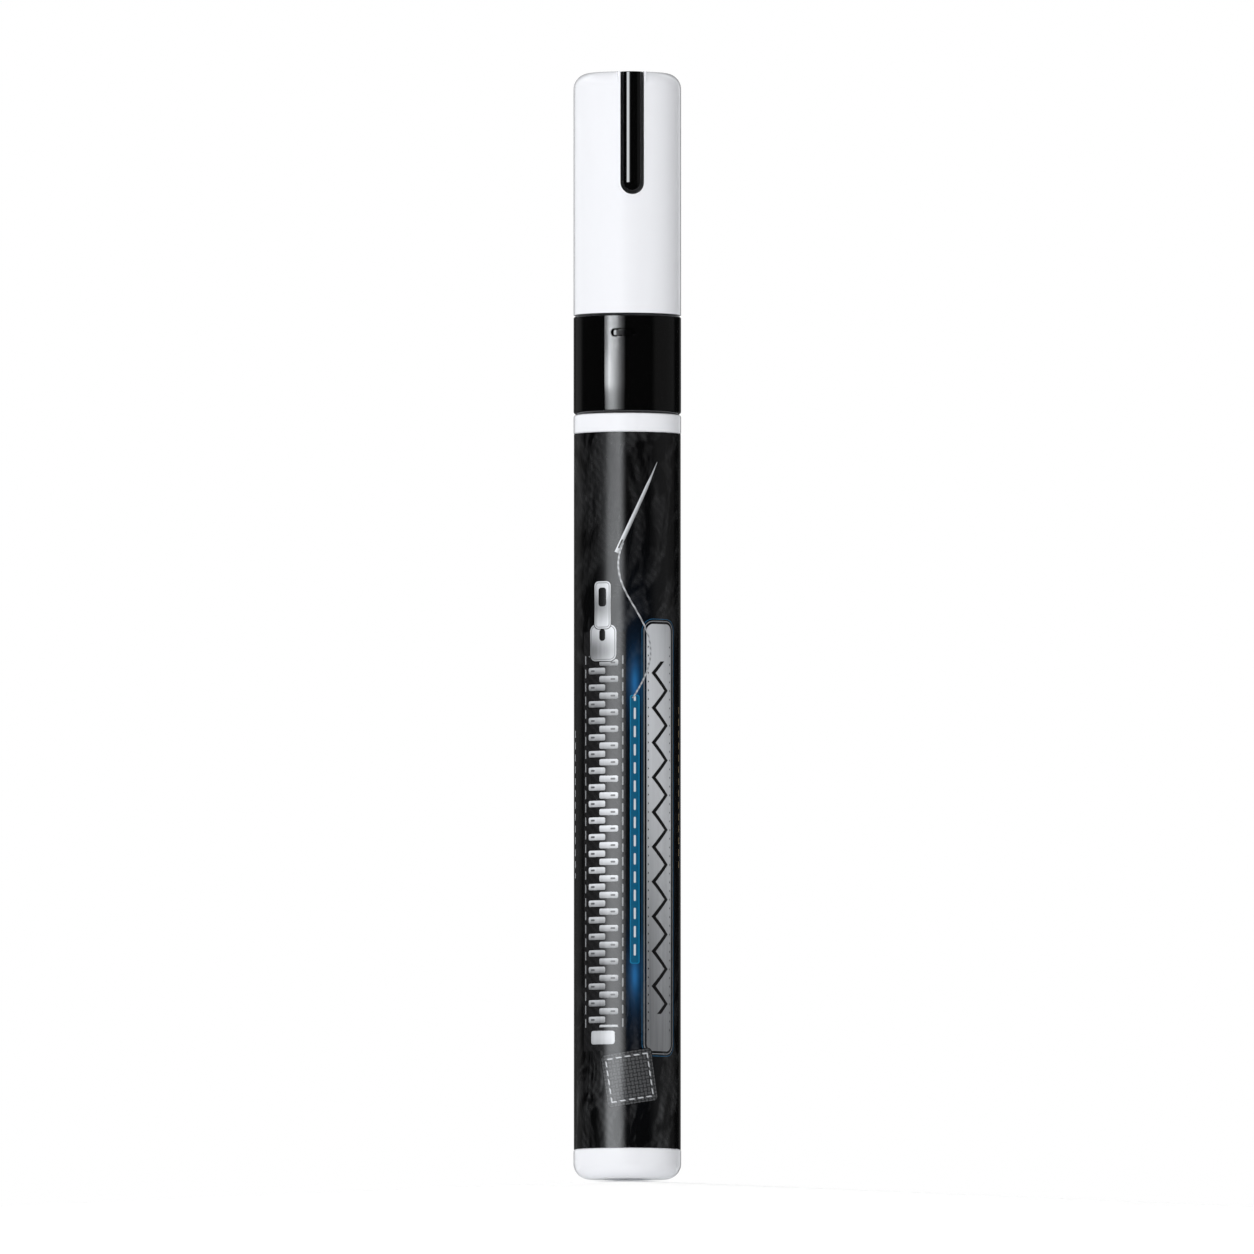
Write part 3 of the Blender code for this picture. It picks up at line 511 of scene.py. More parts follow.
class Finish(Nodes):
    """A material on one Principled shader, with helpers that add texture nodes on its Object coordinates."""

    def __init__(self, name):
        self.material = bpy.data.materials.new(name)
        self.material.use_nodes = True
        super().__init__(self.material.node_tree)
        self.shader = self.tree.nodes["Principled BSDF"]
        self.place = self.node("TexCoord").outputs["Object"]

    def values(self, **inputs):
        """Sets the shader's inputs by name."""
        for name, value in inputs.items():
            self.fill(self.shader.inputs[name.replace("_", " ")], value)

    def axes(self):
        """Object coordinates in millimetres: x, y and z as fields."""
        split = self.node("SeparateXYZ", self.place)
        return [Field(self, split.outputs[axis]) * (1 / MM) for axis in "XYZ"]

    def noise(self, per_millimetre, detail=3.0, distortion=0.0, stretch=None, shift=(0.0, 0.0, 0.0)):
        """Noise from 0 to 1 with about this many lumps in a millimetre, on coordinates times stretch, plus shift."""
        place = self.place
        if stretch:
            place = self.node("Mapping", place, Location=shift, Scale=stretch)
        made = self.node("TexNoise", Vector=place, Scale=per_millimetre / MM, Detail=detail, Distortion=distortion)
        return Field(self, made.outputs["Fac"])

    def blend(self, share, first, second):
        """First where share is 0, second where it is 1, as a colour socket."""
        made = self.node("Mix")
        made.data_type = "RGBA"
        self.fill(made.inputs["Factor"], share)
        for socket, colour in zip((socket for socket in made.inputs if socket.type == "RGBA"), (first, second)):
            self.fill(socket, colour if isinstance(colour, bpy.types.NodeSocket) else (*colour[:3], 1.0))
        return next(socket for socket in made.outputs if socket.type == "RGBA")

    def shades(self, share, colour, low, high):
        """The colour times low where share is 0, and times high where it is 1."""
        return self.blend(share, colour * low, colour * high)

    def bump(self, height, depth):
        """Tilts the shader's normal by a height field that is depth metres deep."""
        self.values(Normal=self.node("Bump", Height=height, Distance=depth))

    def show_sum(self, first, second):
        """Makes the material show two shaders together."""
        self.fill(self.tree.nodes["Material Output"].inputs["Surface"], self.node("AddShader", first, second))


def white_plastic(finish, colour):
    """Moulded white plastic: faint cloudiness in colour and gloss, and a shallow orange peel."""
    cloud = finish.noise(0.12, detail=1.0)
    finish.values(
        Base_Color=finish.shades(cloud, colour, 0.992, 1.006),
        Roughness=cloud * 0.02 + finish.noise(3.0) * 0.02 + 0.05,
        IOR=1.49,
    )
    finish.bump(finish.noise(1.2, detail=2.0), 0.001 * MM)


def black_plastic(finish, colour):
    """Polished black plastic: hairline scuffs that run round the pen, and a trace of dust in the gloss."""
    scuffs = finish.noise(2.0, detail=4.0, stretch=(0.2, 0.2, 6.0)).ramp(0.60, 0.80)
    dust = finish.noise(7.0, detail=2.0).ramp(0.66, 0.80)
    finish.values(
        Base_Color=finish.shades(dust * 0.25, colour, 1.0, 3.0),
        Roughness=scuffs * 0.03 + dust * 0.04 + 0.02,
        IOR=1.5,
        Specular_IOR_Level=0.8,
    )
    finish.bump(finish.noise(0.25, detail=1.0), 0.0001 * MM)


def natural_plastic(finish, colour, roughness):
    """Unpigmented satin plastic: cloudy colour, and flow lines along the pen."""
    flow = finish.noise(2.5, stretch=(1.0, 1.0, 0.15))
    finish.values(
        Base_Color=finish.shades(finish.noise(0.6), colour, 0.94, 1.03),
        Roughness=flow * 0.12 + roughness,
        IOR=1.5,
        Subsurface_Weight=0.25,
        Subsurface_Scale=1.0 * MM,
    )
    finish.bump(flow, 0.004 * MM)


def felt(finish, colour):
    """Bonded fibres that run along the nib: streaks of colour, and a matt ridged surface."""
    fibres = finish.noise(9.0, detail=4.0, distortion=0.3, stretch=(1.0, 1.0, 0.06))
    pores = finish.noise(12.0, detail=2.0)
    finish.values(
        Base_Color=finish.shades(fibres.ramp(0.3, 0.7), colour, 0.80, 1.05),
        Roughness=pores * 0.15 + 0.78,
        Sheen_Weight=0.25,
    )
    finish.bump(fibres * 0.7 + pores * 0.3, 0.03 * MM)


def rubber(finish, colour):
    """Matt black rubber with a fine grain."""
    grain = finish.noise(8.0)
    finish.values(Base_Color=finish.shades(grain, colour, 0.8, 1.4), Roughness=grain * 0.15 + 0.65)
    finish.bump(grain, 0.006 * MM)


def steel(finish, colour, roughness, drawn):
    """Stainless steel. Drawn wire has fine lines round the coil, and a polished ball only faint clouds."""
    lines = finish.noise(6.0, detail=4.0, stretch=(1.0, 1.0, drawn))
    finish.values(
        Base_Color=finish.shades(lines, colour, 0.9, 1.1), Metallic=1.0, Roughness=lines * 0.12 + roughness)
    finish.bump(lines, 0.002 * MM)


def rounded_box(across, up, half_width, half_height, corner):
    """The signed distance to an upright box with rounded corners: negative inside."""
    side = (across.size() - (half_width - corner)).most(0.0)
    end = (up.size() - (half_height - corner)).most(0.0)
    return side.length_with(end) - corner


def repeated(along, pitch):
    """Distance from the middle of the nearest repeat, from minus to plus half a pitch."""
    return ((along / pitch).part() - 0.5) * pitch


def outside(along, low, high):
    """The signed distance to the band between two values: negative inside."""
    return (along - (low + high) / 2).size() - (high - low) / 2


def running_stitch(across, along, pitch, length, width):
    """The signed distance to a row of round-ended dashes."""
    return rounded_box(across, repeated(along, pitch), width / 2, length / 2, width / 2)


def turned_by(across, up, degrees):
    """The same place on axes turned anticlockwise by this angle."""
    cosine, sine = math.cos(math.radians(degrees)), math.sin(math.radians(degrees))
    return across * cosine + up * sine, up * cosine - across * sine


def inked(distance, edge=0.05):
    """1 inside a shape and 0 outside, from its signed distance, with a soft edge this many millimetres wide."""
    return (-distance).ramp(-edge / 2, edge / 2)


def draped(finish):
    """How strongly folded cloth catches the light: the slope of a warped noise towards the upper left, taken as the
    difference of two samples a short way apart, for broad folds and for finer creases."""
    slopes = []
    for per_millimetre, step, gain in ((0.085, 0.5, 7.0), (0.24, 0.25, 3.0)):
        here, beyond = (
            finish.noise(per_millimetre, 2.5, 1.6, (1.0, 1.0, 0.55), (shift * MM, 0.0, -0.6 * shift * MM))
            for shift in (0.0, step))
        slopes.append((here - beyond) * gain)
    return (slopes[0] + slopes[1] + 0.12).most(0.0).least(1.0)


def label_print(finish, silver, film, teal):
    """The printed film. A point is placed by its distance round the barrel from the front and its height, both in
    millimetres. On dark cloth lie a closed zip, a teal strip with a running stitch, a silver panel with a zigzag
    stitch, a needle and thread above them, a woven patch below, and a column of swatches at the back. Each layer
    is a shape's signed distance and its ink, and covers the layers before it."""
    x, y, z = finish.axes()
    radius, foot, top = LABEL_HIGH.x / MM, LABEL_LOW.z / MM, LABEL_HIGH.z / MM
    around = x.bearing(-y) * radius
    brushed = (finish.noise(1.6, detail=4.0, stretch=(1.0, 1.0, 0.03)) - 0.5) * 0.35

    def metal(light, dark_share, bright_share):
        """Silver ink, from dark to bright by a field of light, with fine upright brush lines."""
        return finish.shades(light + brushed, silver, dark_share, bright_share)

    # Cloth: folds with a fine twill across them, strongest near the label's two ends and its back
    twill = ((around + z) * 5.2).sine() * 0.18 + 0.82
    ends = z.ramp(top - 38.0, top - 20.0) * 0.5 + z.ramp(foot + 26.0, foot + 10.0) + around.size().ramp(8.0, 12.0)
    ink = finish.blend(draped(finish) * twill * (ends.least(1.0) * 0.9 + 0.1), film, (0.055, 0.056, 0.058))

    # Zip: a dark tape stitched down at both sides, teeth from left and right in turn, a stop, a slider and its tab
    column, zip_low, zip_high, tooth_pitch = around + 3.3, 19.0, 66.0, 2.1
    reach = outside(z, zip_low, zip_high)
    left_up, right_up = repeated(z, tooth_pitch), repeated(z + tooth_pitch / 2, tooth_pitch)
    left_tooth = rounded_box(column + 0.86, left_up, 1.28, 0.40, 0.22)
    right_tooth = rounded_box(column - 0.86, right_up, 1.28, 0.40, 0.22)
    teeth = left_tooth.least(right_tooth).most(reach)
    is_left = left_tooth.below(right_tooth)
    tooth_up = is_left * left_up + (1.0 - is_left) * right_up
    tooth_light = tooth_up * 0.75 + 0.58 + (z * 0.16 + 0.8).sine() * 0.22
    slider = rounded_box(column, z - (zip_high + 1.6), 1.9, 2.3, 0.9)
    tab = rounded_box(column, z - (zip_high + 6.4), 1.15, 3.0, 0.6)
    slider_light = (z * 1.1 + 0.6).sine() * 0.28 + column * 0.16 + 0.52
    layers = [
        ((column.size() - 3.1).most(outside(z, zip_low - 3.0, zip_high + 3.0)),
         finish.blend(twill, (0.002, 0.002, 0.002), (0.016, 0.016, 0.017))),
        (running_stitch(column.size() - 2.72, z, 1.7, 1.1, 0.17).most(reach), silver * 0.45),
        (teeth - 0.09, film * 0.4),
        (teeth, metal(tooth_light, 0.14, 1.2)),
        (rounded_box(column.size() - 1.45, tooth_up, 0.32, 0.12, 0.12).most(reach), silver * 0.16),
        (rounded_box(column, z - (zip_low - 1.3), 1.7, 0.85, 0.35), metal(slider_light, 0.25, 1.1)),
        (slider - 0.12, film * 0.4),
        (slider, metal(slider_light, 0.25, 1.15)),
        ((slider + 0.2).size() - 0.05, silver * 0.3),
        (rounded_box(column, z - (zip_high + 2.6), 0.42, 0.75, 0.4), film * 0.8),
        (tab - 0.10, film * 0.4),
        (tab, metal(slider_light, 0.3, 1.2)),
        ((tab + 0.2).size() - 0.05, silver * 0.35),
        (rounded_box(column, z - (zip_high + 7.4), 0.55, 1.2, 0.4), film * 1.2),
    ]

    # Teal strip with a pale running stitch, and a blue glow at its two ends
    strip_across = around - 0.95
    strip = rounded_box(strip_across, z - 44.0, 0.62, 17.0, 0.3)
    low_glow, high_glow = (
        (strip_across * strip_across + (z - end) * (z - end) * 0.05 + 0.35).power(-1.6) for end in (25.5, 62.5))
    ink = finish.blend(((low_glow + high_glow) * 0.11).least(0.75), ink, (0.02, 0.19, 0.50))
    layers += [
        (strip, teal),
        ((strip + 0.07).size() - 0.045, teal * 2.2),
        (running_stitch(strip_across, z, 2.3, 1.44, 0.26).most(strip + 0.2), silver * 0.95),
    ]

    # Silver panel with two hairlines round it, a dark zigzag stitch and a sawtooth at both sides
    panel_across, panel_up = around - 4.45, z - 43.0
    panel = rounded_box(panel_across, panel_up, 1.95, 27.0, 0.9)
    panel_light = (panel_up * 0.075 + panel_across * 0.25 + 0.6).sine() * 0.32 + 0.52
    zigzag_wave = (repeated(z, 4.4).size() * 1.75 - 1.88) * 0.52
    saw = (panel_across.size() + repeated(z, 1.1).size() * 0.9 - 2.12) * -0.75
    layers += [
        ((panel - 0.62).size() - 0.03, (0.02, 0.10, 0.20)),
        ((panel - 0.34).size() - 0.05, silver * 0.35),
        (panel, metal(panel_light, 0.08, 0.98)),
        (((panel_across - zigzag_wave).size() * 0.74 - 0.23).most(outside(z, 20.7, 65.3)), film * 1.1),
        (saw.most(panel + 0.16).most(outside(z, 18.5, 67.5)), film * 1.6),
    ]

    # Needle, and a thread from its eye down to the strip
    along, across = turned_by(around + 0.9, z - 80.0, 65.0)
    needle_width = along.along(((-1.2, 0.26), (1.2, 0.27), (8.0, 0.21), (11.6, 0.02)))
    sway = (z * 0.2856 - 17.42).sine() * 2.1 + 0.95
    twist = (z * 9.0 + around * 6.0).sine() * 0.25 + 0.6
    layers += [
        (((around - sway).size() * 0.87 - 0.10).most(outside(z, 60.6, 80.2)), finish.shades(twist, silver, 0.12, 0.85)),
        ((across.size() - needle_width).most(outside(along, -1.1, 11.6)), metal(across * 1.9 + 0.55, 0.2, 1.2)),
        (rounded_box(along - 0.1, across, 0.62, 0.11, 0.10), film * 0.6),
    ]

    # Woven patch with a stitched border
    across, up = turned_by(around - 0.3, z - 12.6, 9.0)
    patch = rounded_box(across, up, 3.3, 3.3, 0.5)
    warp, weft = (across * 6.2).sine(), (up * 6.2).sine()
    over = (warp * weft).above(0.0)
    weave = over * warp.size() + (1.0 - over) * weft.size()
    hem = running_stitch(across.size().most(up.size()) - 2.72, across + up, 1.15, 0.72, 0.17)
    layers += [
        (patch - 0.10, film * 0.3),
        (patch, finish.shades(weave, silver, 0.012, 0.13)),
        (hem.most(patch + 0.3), silver * 0.8),
    ]

    # Side stitches, pale on the left and straw-coloured on the right. At the back, swatches of cloth between two
    # rules, and the line where the film overlaps itself
    behind = around.size() - radius * math.pi
    swatch = rounded_box(behind, repeated(z, 8.0), 2.4, 2.4, 0.5).most(outside(z, 24.0, 72.0))
    swatch_share = ((z / 8.0).whole() * 0.37).part()
    layers += [
        (running_stitch(around + 9.0, z, 1.5, 0.9, 0.24).most(outside(z, 38.0, 57.0)), silver * 0.8),
        (running_stitch(around - 8.7, z, 1.5, 0.9, 0.24).most(outside(z, 39.0, 60.0)), (0.24, 0.18, 0.10)),
        (swatch, finish.blend(swatch_share, teal * 0.9, silver * 0.30)),
        (((behind.size() - 4.4).size() - 0.09).most(outside(z, 22.0, 74.0)), silver * 0.35),
        ((around.size() - 15.2).size() - 0.04, silver * 0.05),
    ]
    for shape, colour in layers:
        ink = finish.blend(inked(shape), ink, colour)
    finish.values(Base_Color=ink, Roughness=finish.noise(5.0, detail=2.0) * 0.05 + 0.10, IOR=1.5)
    finish.bump(finish.noise(0.5, detail=2.0), 0.002 * MM)


def finishes():
    """All the materials by slot, made once."""
    if FINISHES:
        return FINISHES
    chosen = bpy.context.scene.marker_colours
    colours = {name: np.array(getattr(chosen, name)) for name in MarkerColours.__annotations__}
    for slot, recipe, *settings in (
        ("white_plastic", white_plastic, colours["white_plastic"]),
        ("black_plastic", black_plastic, colours["black_plastic"]),
        ("label_print", label_print, colours["silver"], colours["film"], colours["teal"]),
        ("nib_felt", felt, colours["felt"]),
        ("valve_plastic", natural_plastic, colours["natural"], 0.34),
        ("seal_cup_plastic", natural_plastic, colours["natural"] * 0.92, 0.40),
        ("seal_rubber", rubber, colours["rubber"]),
        ("spring_steel", steel, colours["steel"], 0.18, 8.0),
        ("ball_steel", steel, colours["steel"], 0.03, 1.0),
    ):
        finish = Finish(slot)
        recipe(finish, *settings)
        FINISHES[slot] = finish.material
    return FINISHES


class MARKER_OT_barrel(bpy.types.Operator):
    """Build the white barrel with its rounded foot and its seat for the label"""

    bl_idname = "marker.barrel"
    bl_label = "Barrel"

    def execute(self, context):
        sizes = context.scene.marker_sizes
        radius, top = sizes.body_radius, BARREL_HIGH.z
        seat, band_edge = -LABEL_LOW.x - 0.11 * MM, 0.07 * MM
        band_top, band_foot = LABEL_HIGH.z + 0.1 * MM, LABEL_LOW.z - 0.1 * MM
        recess, dimple, dimple_edge = 0.4 * MM, 0.28 * MM, 0.05 * MM
        piece = turned("barrel_skin", [
            (0.0, FLOOR), (BARREL_BORE, FLOOR, 1.3 * MM),
            *bead(BARREL_BORE, SNAP_HEIGHT, -1.6 * MM, 0.25 * MM, flat=0.6875, soft=sizes.edge_round),
            (BARREL_BORE, top, 0.25 * MM), (radius, top, 0.3 * MM), (radius, band_top, band_edge), (seat, band_top),
            (seat, band_foot), (radius, band_foot, band_edge), (radius, 0.0, sizes.foot_fillet),
            (3.0 * MM, 0.0, 0.12 * MM), (2.6 * MM, recess, 0.12 * MM), (0.6 * MM, recess, dimple_edge),
            (0.5 * MM, dimple, dimple_edge), (0.0, dimple),
        ])
        stands_for(piece, "barrel", "body", "white_plastic")
        return {"FINISHED"}


class MARKER_OT_label(bpy.types.Operator):
    """Build the printed film round the barrel"""

    bl_idname = "marker.label"
    bl_label = "Label"

    def execute(self, context):
        outer, inner, edge = LABEL_HIGH.x, LABEL_HIGH.x - 0.08 * MM, 0.03 * MM
        foot, top = LABEL_LOW.z, LABEL_HIGH.z
        heights = np.linspace(top, foot, LABEL_BANDS + 1)[1:-1]
        outline = [(outer, top, edge), *((outer, height) for height in heights), (outer, foot, edge)]
        outline += [(inner, foot), *((inner, height) for height in heights[::-1]), (inner, top)]
        stands_for(turned("label_film", outline), "label_sleeve", "body", "label_print")
        return {"FINISHED"}


class MARKER_OT_collar(bpy.types.Operator):
    """Build the gloss black collar with its window"""

    bl_idname = "marker.collar"
    bl_label = "Collar"

    def execute(self, context):
        sizes = context.scene.marker_sizes
        radius, chamfer, soft = sizes.body_radius, sizes.collar_chamfer, 0.12 * MM
        foot, top, bore = COLLAR_LOW.z, COLLAR_HIGH.z, NECK + PLAY
        collar = turned("collar_skin", [
            (radius - chamfer, top, soft), (radius, top - chamfer, soft), (radius, foot + chamfer, soft),
            (radius - chamfer, foot, soft), (bore, foot), (bore, top),
        ], GLOSS_SEGMENTS)
        opening = slot_outline(3.06 * MM, 1.08 * MM, top - WINDOW_DROP)
        window = prism("window", opening, -radius - PLAY, BEYOND - bore, WINDOW_TURN)
        keep_round(carve(collar, (window, "DIFFERENCE")), radius)
        stands_for(collar, "front_collar", "body", "black_plastic")
        return {"FINISHED"}


class MARKER_OT_nose(bpy.types.Operator):
    """Build the nib holder and the felt nib"""

    bl_idname = "marker.nose"
    bl_label = "Nose"

    def execute(self, context):
        self.holder()
        self.nib()
        return {"FINISHED"}

    def holder(self):
        """The holder is turned, with beads that grip the barrel and seal in the cap. The latch that shows in the
        collar's window is joined on, and two crossed air slots are cut beside the nib."""
        mouth, foot, tip = BARREL_HIGH.z, HOLDER_LOW.z, HOLDER_HIGH.z
        neck_top = COLLAR_HIGH.z + 7.0 * MM
        valve_bore, valve_top = VALVE_HIGH.x + PLAY, VALVE_HIGH.z + PLAY
        spout, nib_room = GUIDE + 0.95 * MM, NIB_HIGH.x + 0.95 * MM
        grips = [mouth - (mouth - SNAP_HEIGHT) * place / 4 for place in (1, 2, 3)]
        holder = turned("nose_skin", [
            (spout, tip, 0.45 * MM), (spout, tip - 2.8 * MM, 1.5 * MM), (LAND, tip - 9.3 * MM, 1.5 * MM),
            (LAND, neck_top + 0.9 * MM, 0.2 * MM), (NECK, neck_top, 0.3 * MM),
            *bead(NECK, NECK_BEAD_HEIGHT, 0.9 * MM, 0.12 * MM),
            (NECK, COLLAR_LOW.z), (SPIGOT, mouth - 0.25 * MM),
            *(corner for height in grips for corner in bead(SPIGOT, height, 0.8 * MM, 0.07 * MM)),
            *bead(SPIGOT, SNAP_HEIGHT, 1.2 * MM, 0.32 * MM),
            (SPIGOT, foot, 0.25 * MM), (valve_bore, foot), (valve_bore, valve_top), (nib_room, valve_top),
            (nib_room, tip - 11.2 * MM), (GUIDE, tip - 10.0 * MM), (GUIDE, tip, 0.15 * MM),
        ])
        latch = self.latch(
            1.27 * MM, 0.33 * MM, COLLAR_HIGH.z - WINDOW_DROP, BARREL_HIGH.x - 0.22 * MM, NECK - 0.3 * MM)
        vents = crossed_cuts("vent", GUIDE + 0.35 * MM, 0.3 * MM, tip - 10.6 * MM, tip + BEYOND, WINDOW_TURN)
        carve(holder, (latch, "UNION"), *vents)
        stands_for(holder, "nib_holder", "body", "black_plastic")

    def nib(self):
        """The felt is a turned bullet with a chamfer at its rear."""
        rear, point, radius, chamfer, soft = NIB_LOW.z, NIB_HIGH.z, NIB_HIGH.x, 0.3 * MM, 0.1 * MM
        nib = turned("nib_felt_tip", [
            (0.0, point), (0.8 * MM, point, 0.7 * MM), (radius, point - 3.6 * MM, 1.2 * MM),
            (radius, rear + chamfer, soft), (radius - chamfer, rear, soft), (0.0, rear),
        ], CORE_SEGMENTS)
        stands_for(nib, "nib", "nib", "nib_felt")

    def latch(self, half_width, half_height, middle, face, back):
        """A nub with a level slot's outline. A point runs from end to end by a cosine, and up and down by a share of
        the outline's half height there. The face is an arc flatter than the pen's, and falls back towards both ends
        by a parabola."""
        soft, slope = 0.5 * MM, 0.38
        bend, crest = 12.0 * MM, -0.37 * MM
        along = -half_width * np.cos(np.linspace(0, math.pi, LATCH_STEPS + 1))[:, None]
        beyond = np.maximum(np.abs(along) - (half_width - half_height), 0.0)
        height = np.sqrt(np.maximum(half_height**2 - beyond**2, 0.0))
        rolled = np.maximum(np.abs(along) - (half_width - soft), 0.0)
        front = face - (along - crest)**2 / (2 * bend) - slope * rolled**2 / (2 * soft)
        up = np.linspace(-1, 1, 9) * height
        y = -np.hstack([0 * along + back, front + 0 * up, 0 * along + back])
        z = middle + np.hstack([-height, up, height])
        points = np.stack(np.broadcast_arrays(along, y, z), axis=-1)
        return turn_about_axis(surface("latch", points, inside_out=True), WINDOW_TURN)


class MARKER_OT_valve(bpy.types.Operator):
    """Build the valve: its body, stem, seal, spring and the cup that carries the spring"""

    bl_idname = "marker.valve"
    bl_label = "Valve"

    def execute(self, context):
        edge, round_end = 0.1 * MM, 0.25 * MM
        outer, hole, cavity = VALVE_HIGH.x, 1.6 * MM, VALVE_HIGH.x - 0.9 * MM
        foot, top, seat = VALVE_LOW.z, VALVE_HIGH.z, VALVE_HIGH.z - 1.4 * MM
        lip, ridge = (hole + SEAL_HIGH.x) / 2, 0.15 * MM
        body = turned("valve_body_skin", [
            (outer, top, round_end), (outer, foot), (cavity, foot), (cavity, seat), (lip + ridge, seat),
            (lip, seat - ridge), (lip - ridge, seat), (hole, seat, edge), (hole, top, edge),
        ], CORE_SEGMENTS)
        stands_for(body, "valve_body", "body", "valve_plastic")

        shaft, button, head, pin = 1.1 * MM, 1.4 * MM, STEM_HIGH.x, 0.8 * MM
        crest, head_top = STEM_HIGH.z, SEAL_LOW.z - PLAY
        head_foot = head_top - 1.2 * MM
        stem = turned("valve_stem_skin", [
            (0.0, crest), (button, crest, edge), (button, crest - 0.8 * MM), (shaft, crest - 1.1 * MM),
            (shaft, head_top), (head, head_top, edge), (head, head_foot, round_end), (pin, head_foot),
            (pin, STEM_LOW.z, round_end), (0.0, STEM_LOW.z),
        ], CORE_SEGMENTS)
        stands_for(stem, "valve_stem", "stem", "valve_plastic")

        washer, inner = SEAL_HIGH.x, shaft + PLAY
        seal = turned("stem_seal_skin", [
            (washer, SEAL_HIGH.z, edge), (washer, SEAL_LOW.z, edge), (inner, SEAL_LOW.z), (inner, SEAL_HIGH.z),
        ], CORE_SEGMENTS)
        stands_for(seal, "stem_seal", "stem", "seal_rubber")

        flange, plug, inlet = CUP_HIGH.x, cavity - PLAY, 0.9 * MM
        bore, flange_top = plug - 0.8 * MM, foot - PLAY
        flange_foot = flange_top - 1.0 * MM
        low, high, floor = CUP_LOW.z, CUP_HIGH.z, CUP_LOW.z + 0.9 * MM
        cup = turned("spring_cup_skin", [
            (plug, high, edge), (plug, flange_top), (flange, flange_top, edge), (flange, flange_foot, edge),
            (plug, flange_foot), (plug, low, round_end), (inlet, low), (inlet, floor), (bore, floor), (bore, high),
        ], CORE_SEGMENTS)
        margin = 0.3 * MM
        carve(cup, *crossed_cuts("inlet", plug + BEYOND, 0.55 * MM, floor + margin, flange_foot - margin))
        stands_for(cup, "spring_cup", "body", "valve_plastic")

        wire, turns, steps, sides = 0.18 * MM, 9, 36, 10
        coil = bore - 0.15 * MM - wire
        low, high = floor + wire + PLAY, head_foot - wire - PLAY
        angle = np.linspace(0, turns * math.tau, turns * steps + 1)
        height = low + (high - low) * angle / angle[-1]
        path = np.stack([coil * np.cos(angle), coil * np.sin(angle), height], axis=1)
        spring = tube("valve_spring_wire", path, wire, sides)
        stands_for(spring, "valve_spring", "body", "spring_steel")
        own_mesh(spring)
        return {"FINISHED"}


class MARKER_OT_balls(bpy.types.Operator):
    """Build the two steel balls that stir the paint"""

    bl_idname = "marker.balls"
    bl_label = "Mixing balls"

    def execute(self, context):
        for number in (1, 2):
            low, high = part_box(f"mixing_ball_{number}")
            piece = ball(f"steel_ball_{number}", (low + high) / 2, (high.z - low.z) / 2)
            stands_for(piece, f"mixing_ball_{number}", f"ball_{number}", "ball_steel")
        return {"FINISHED"}


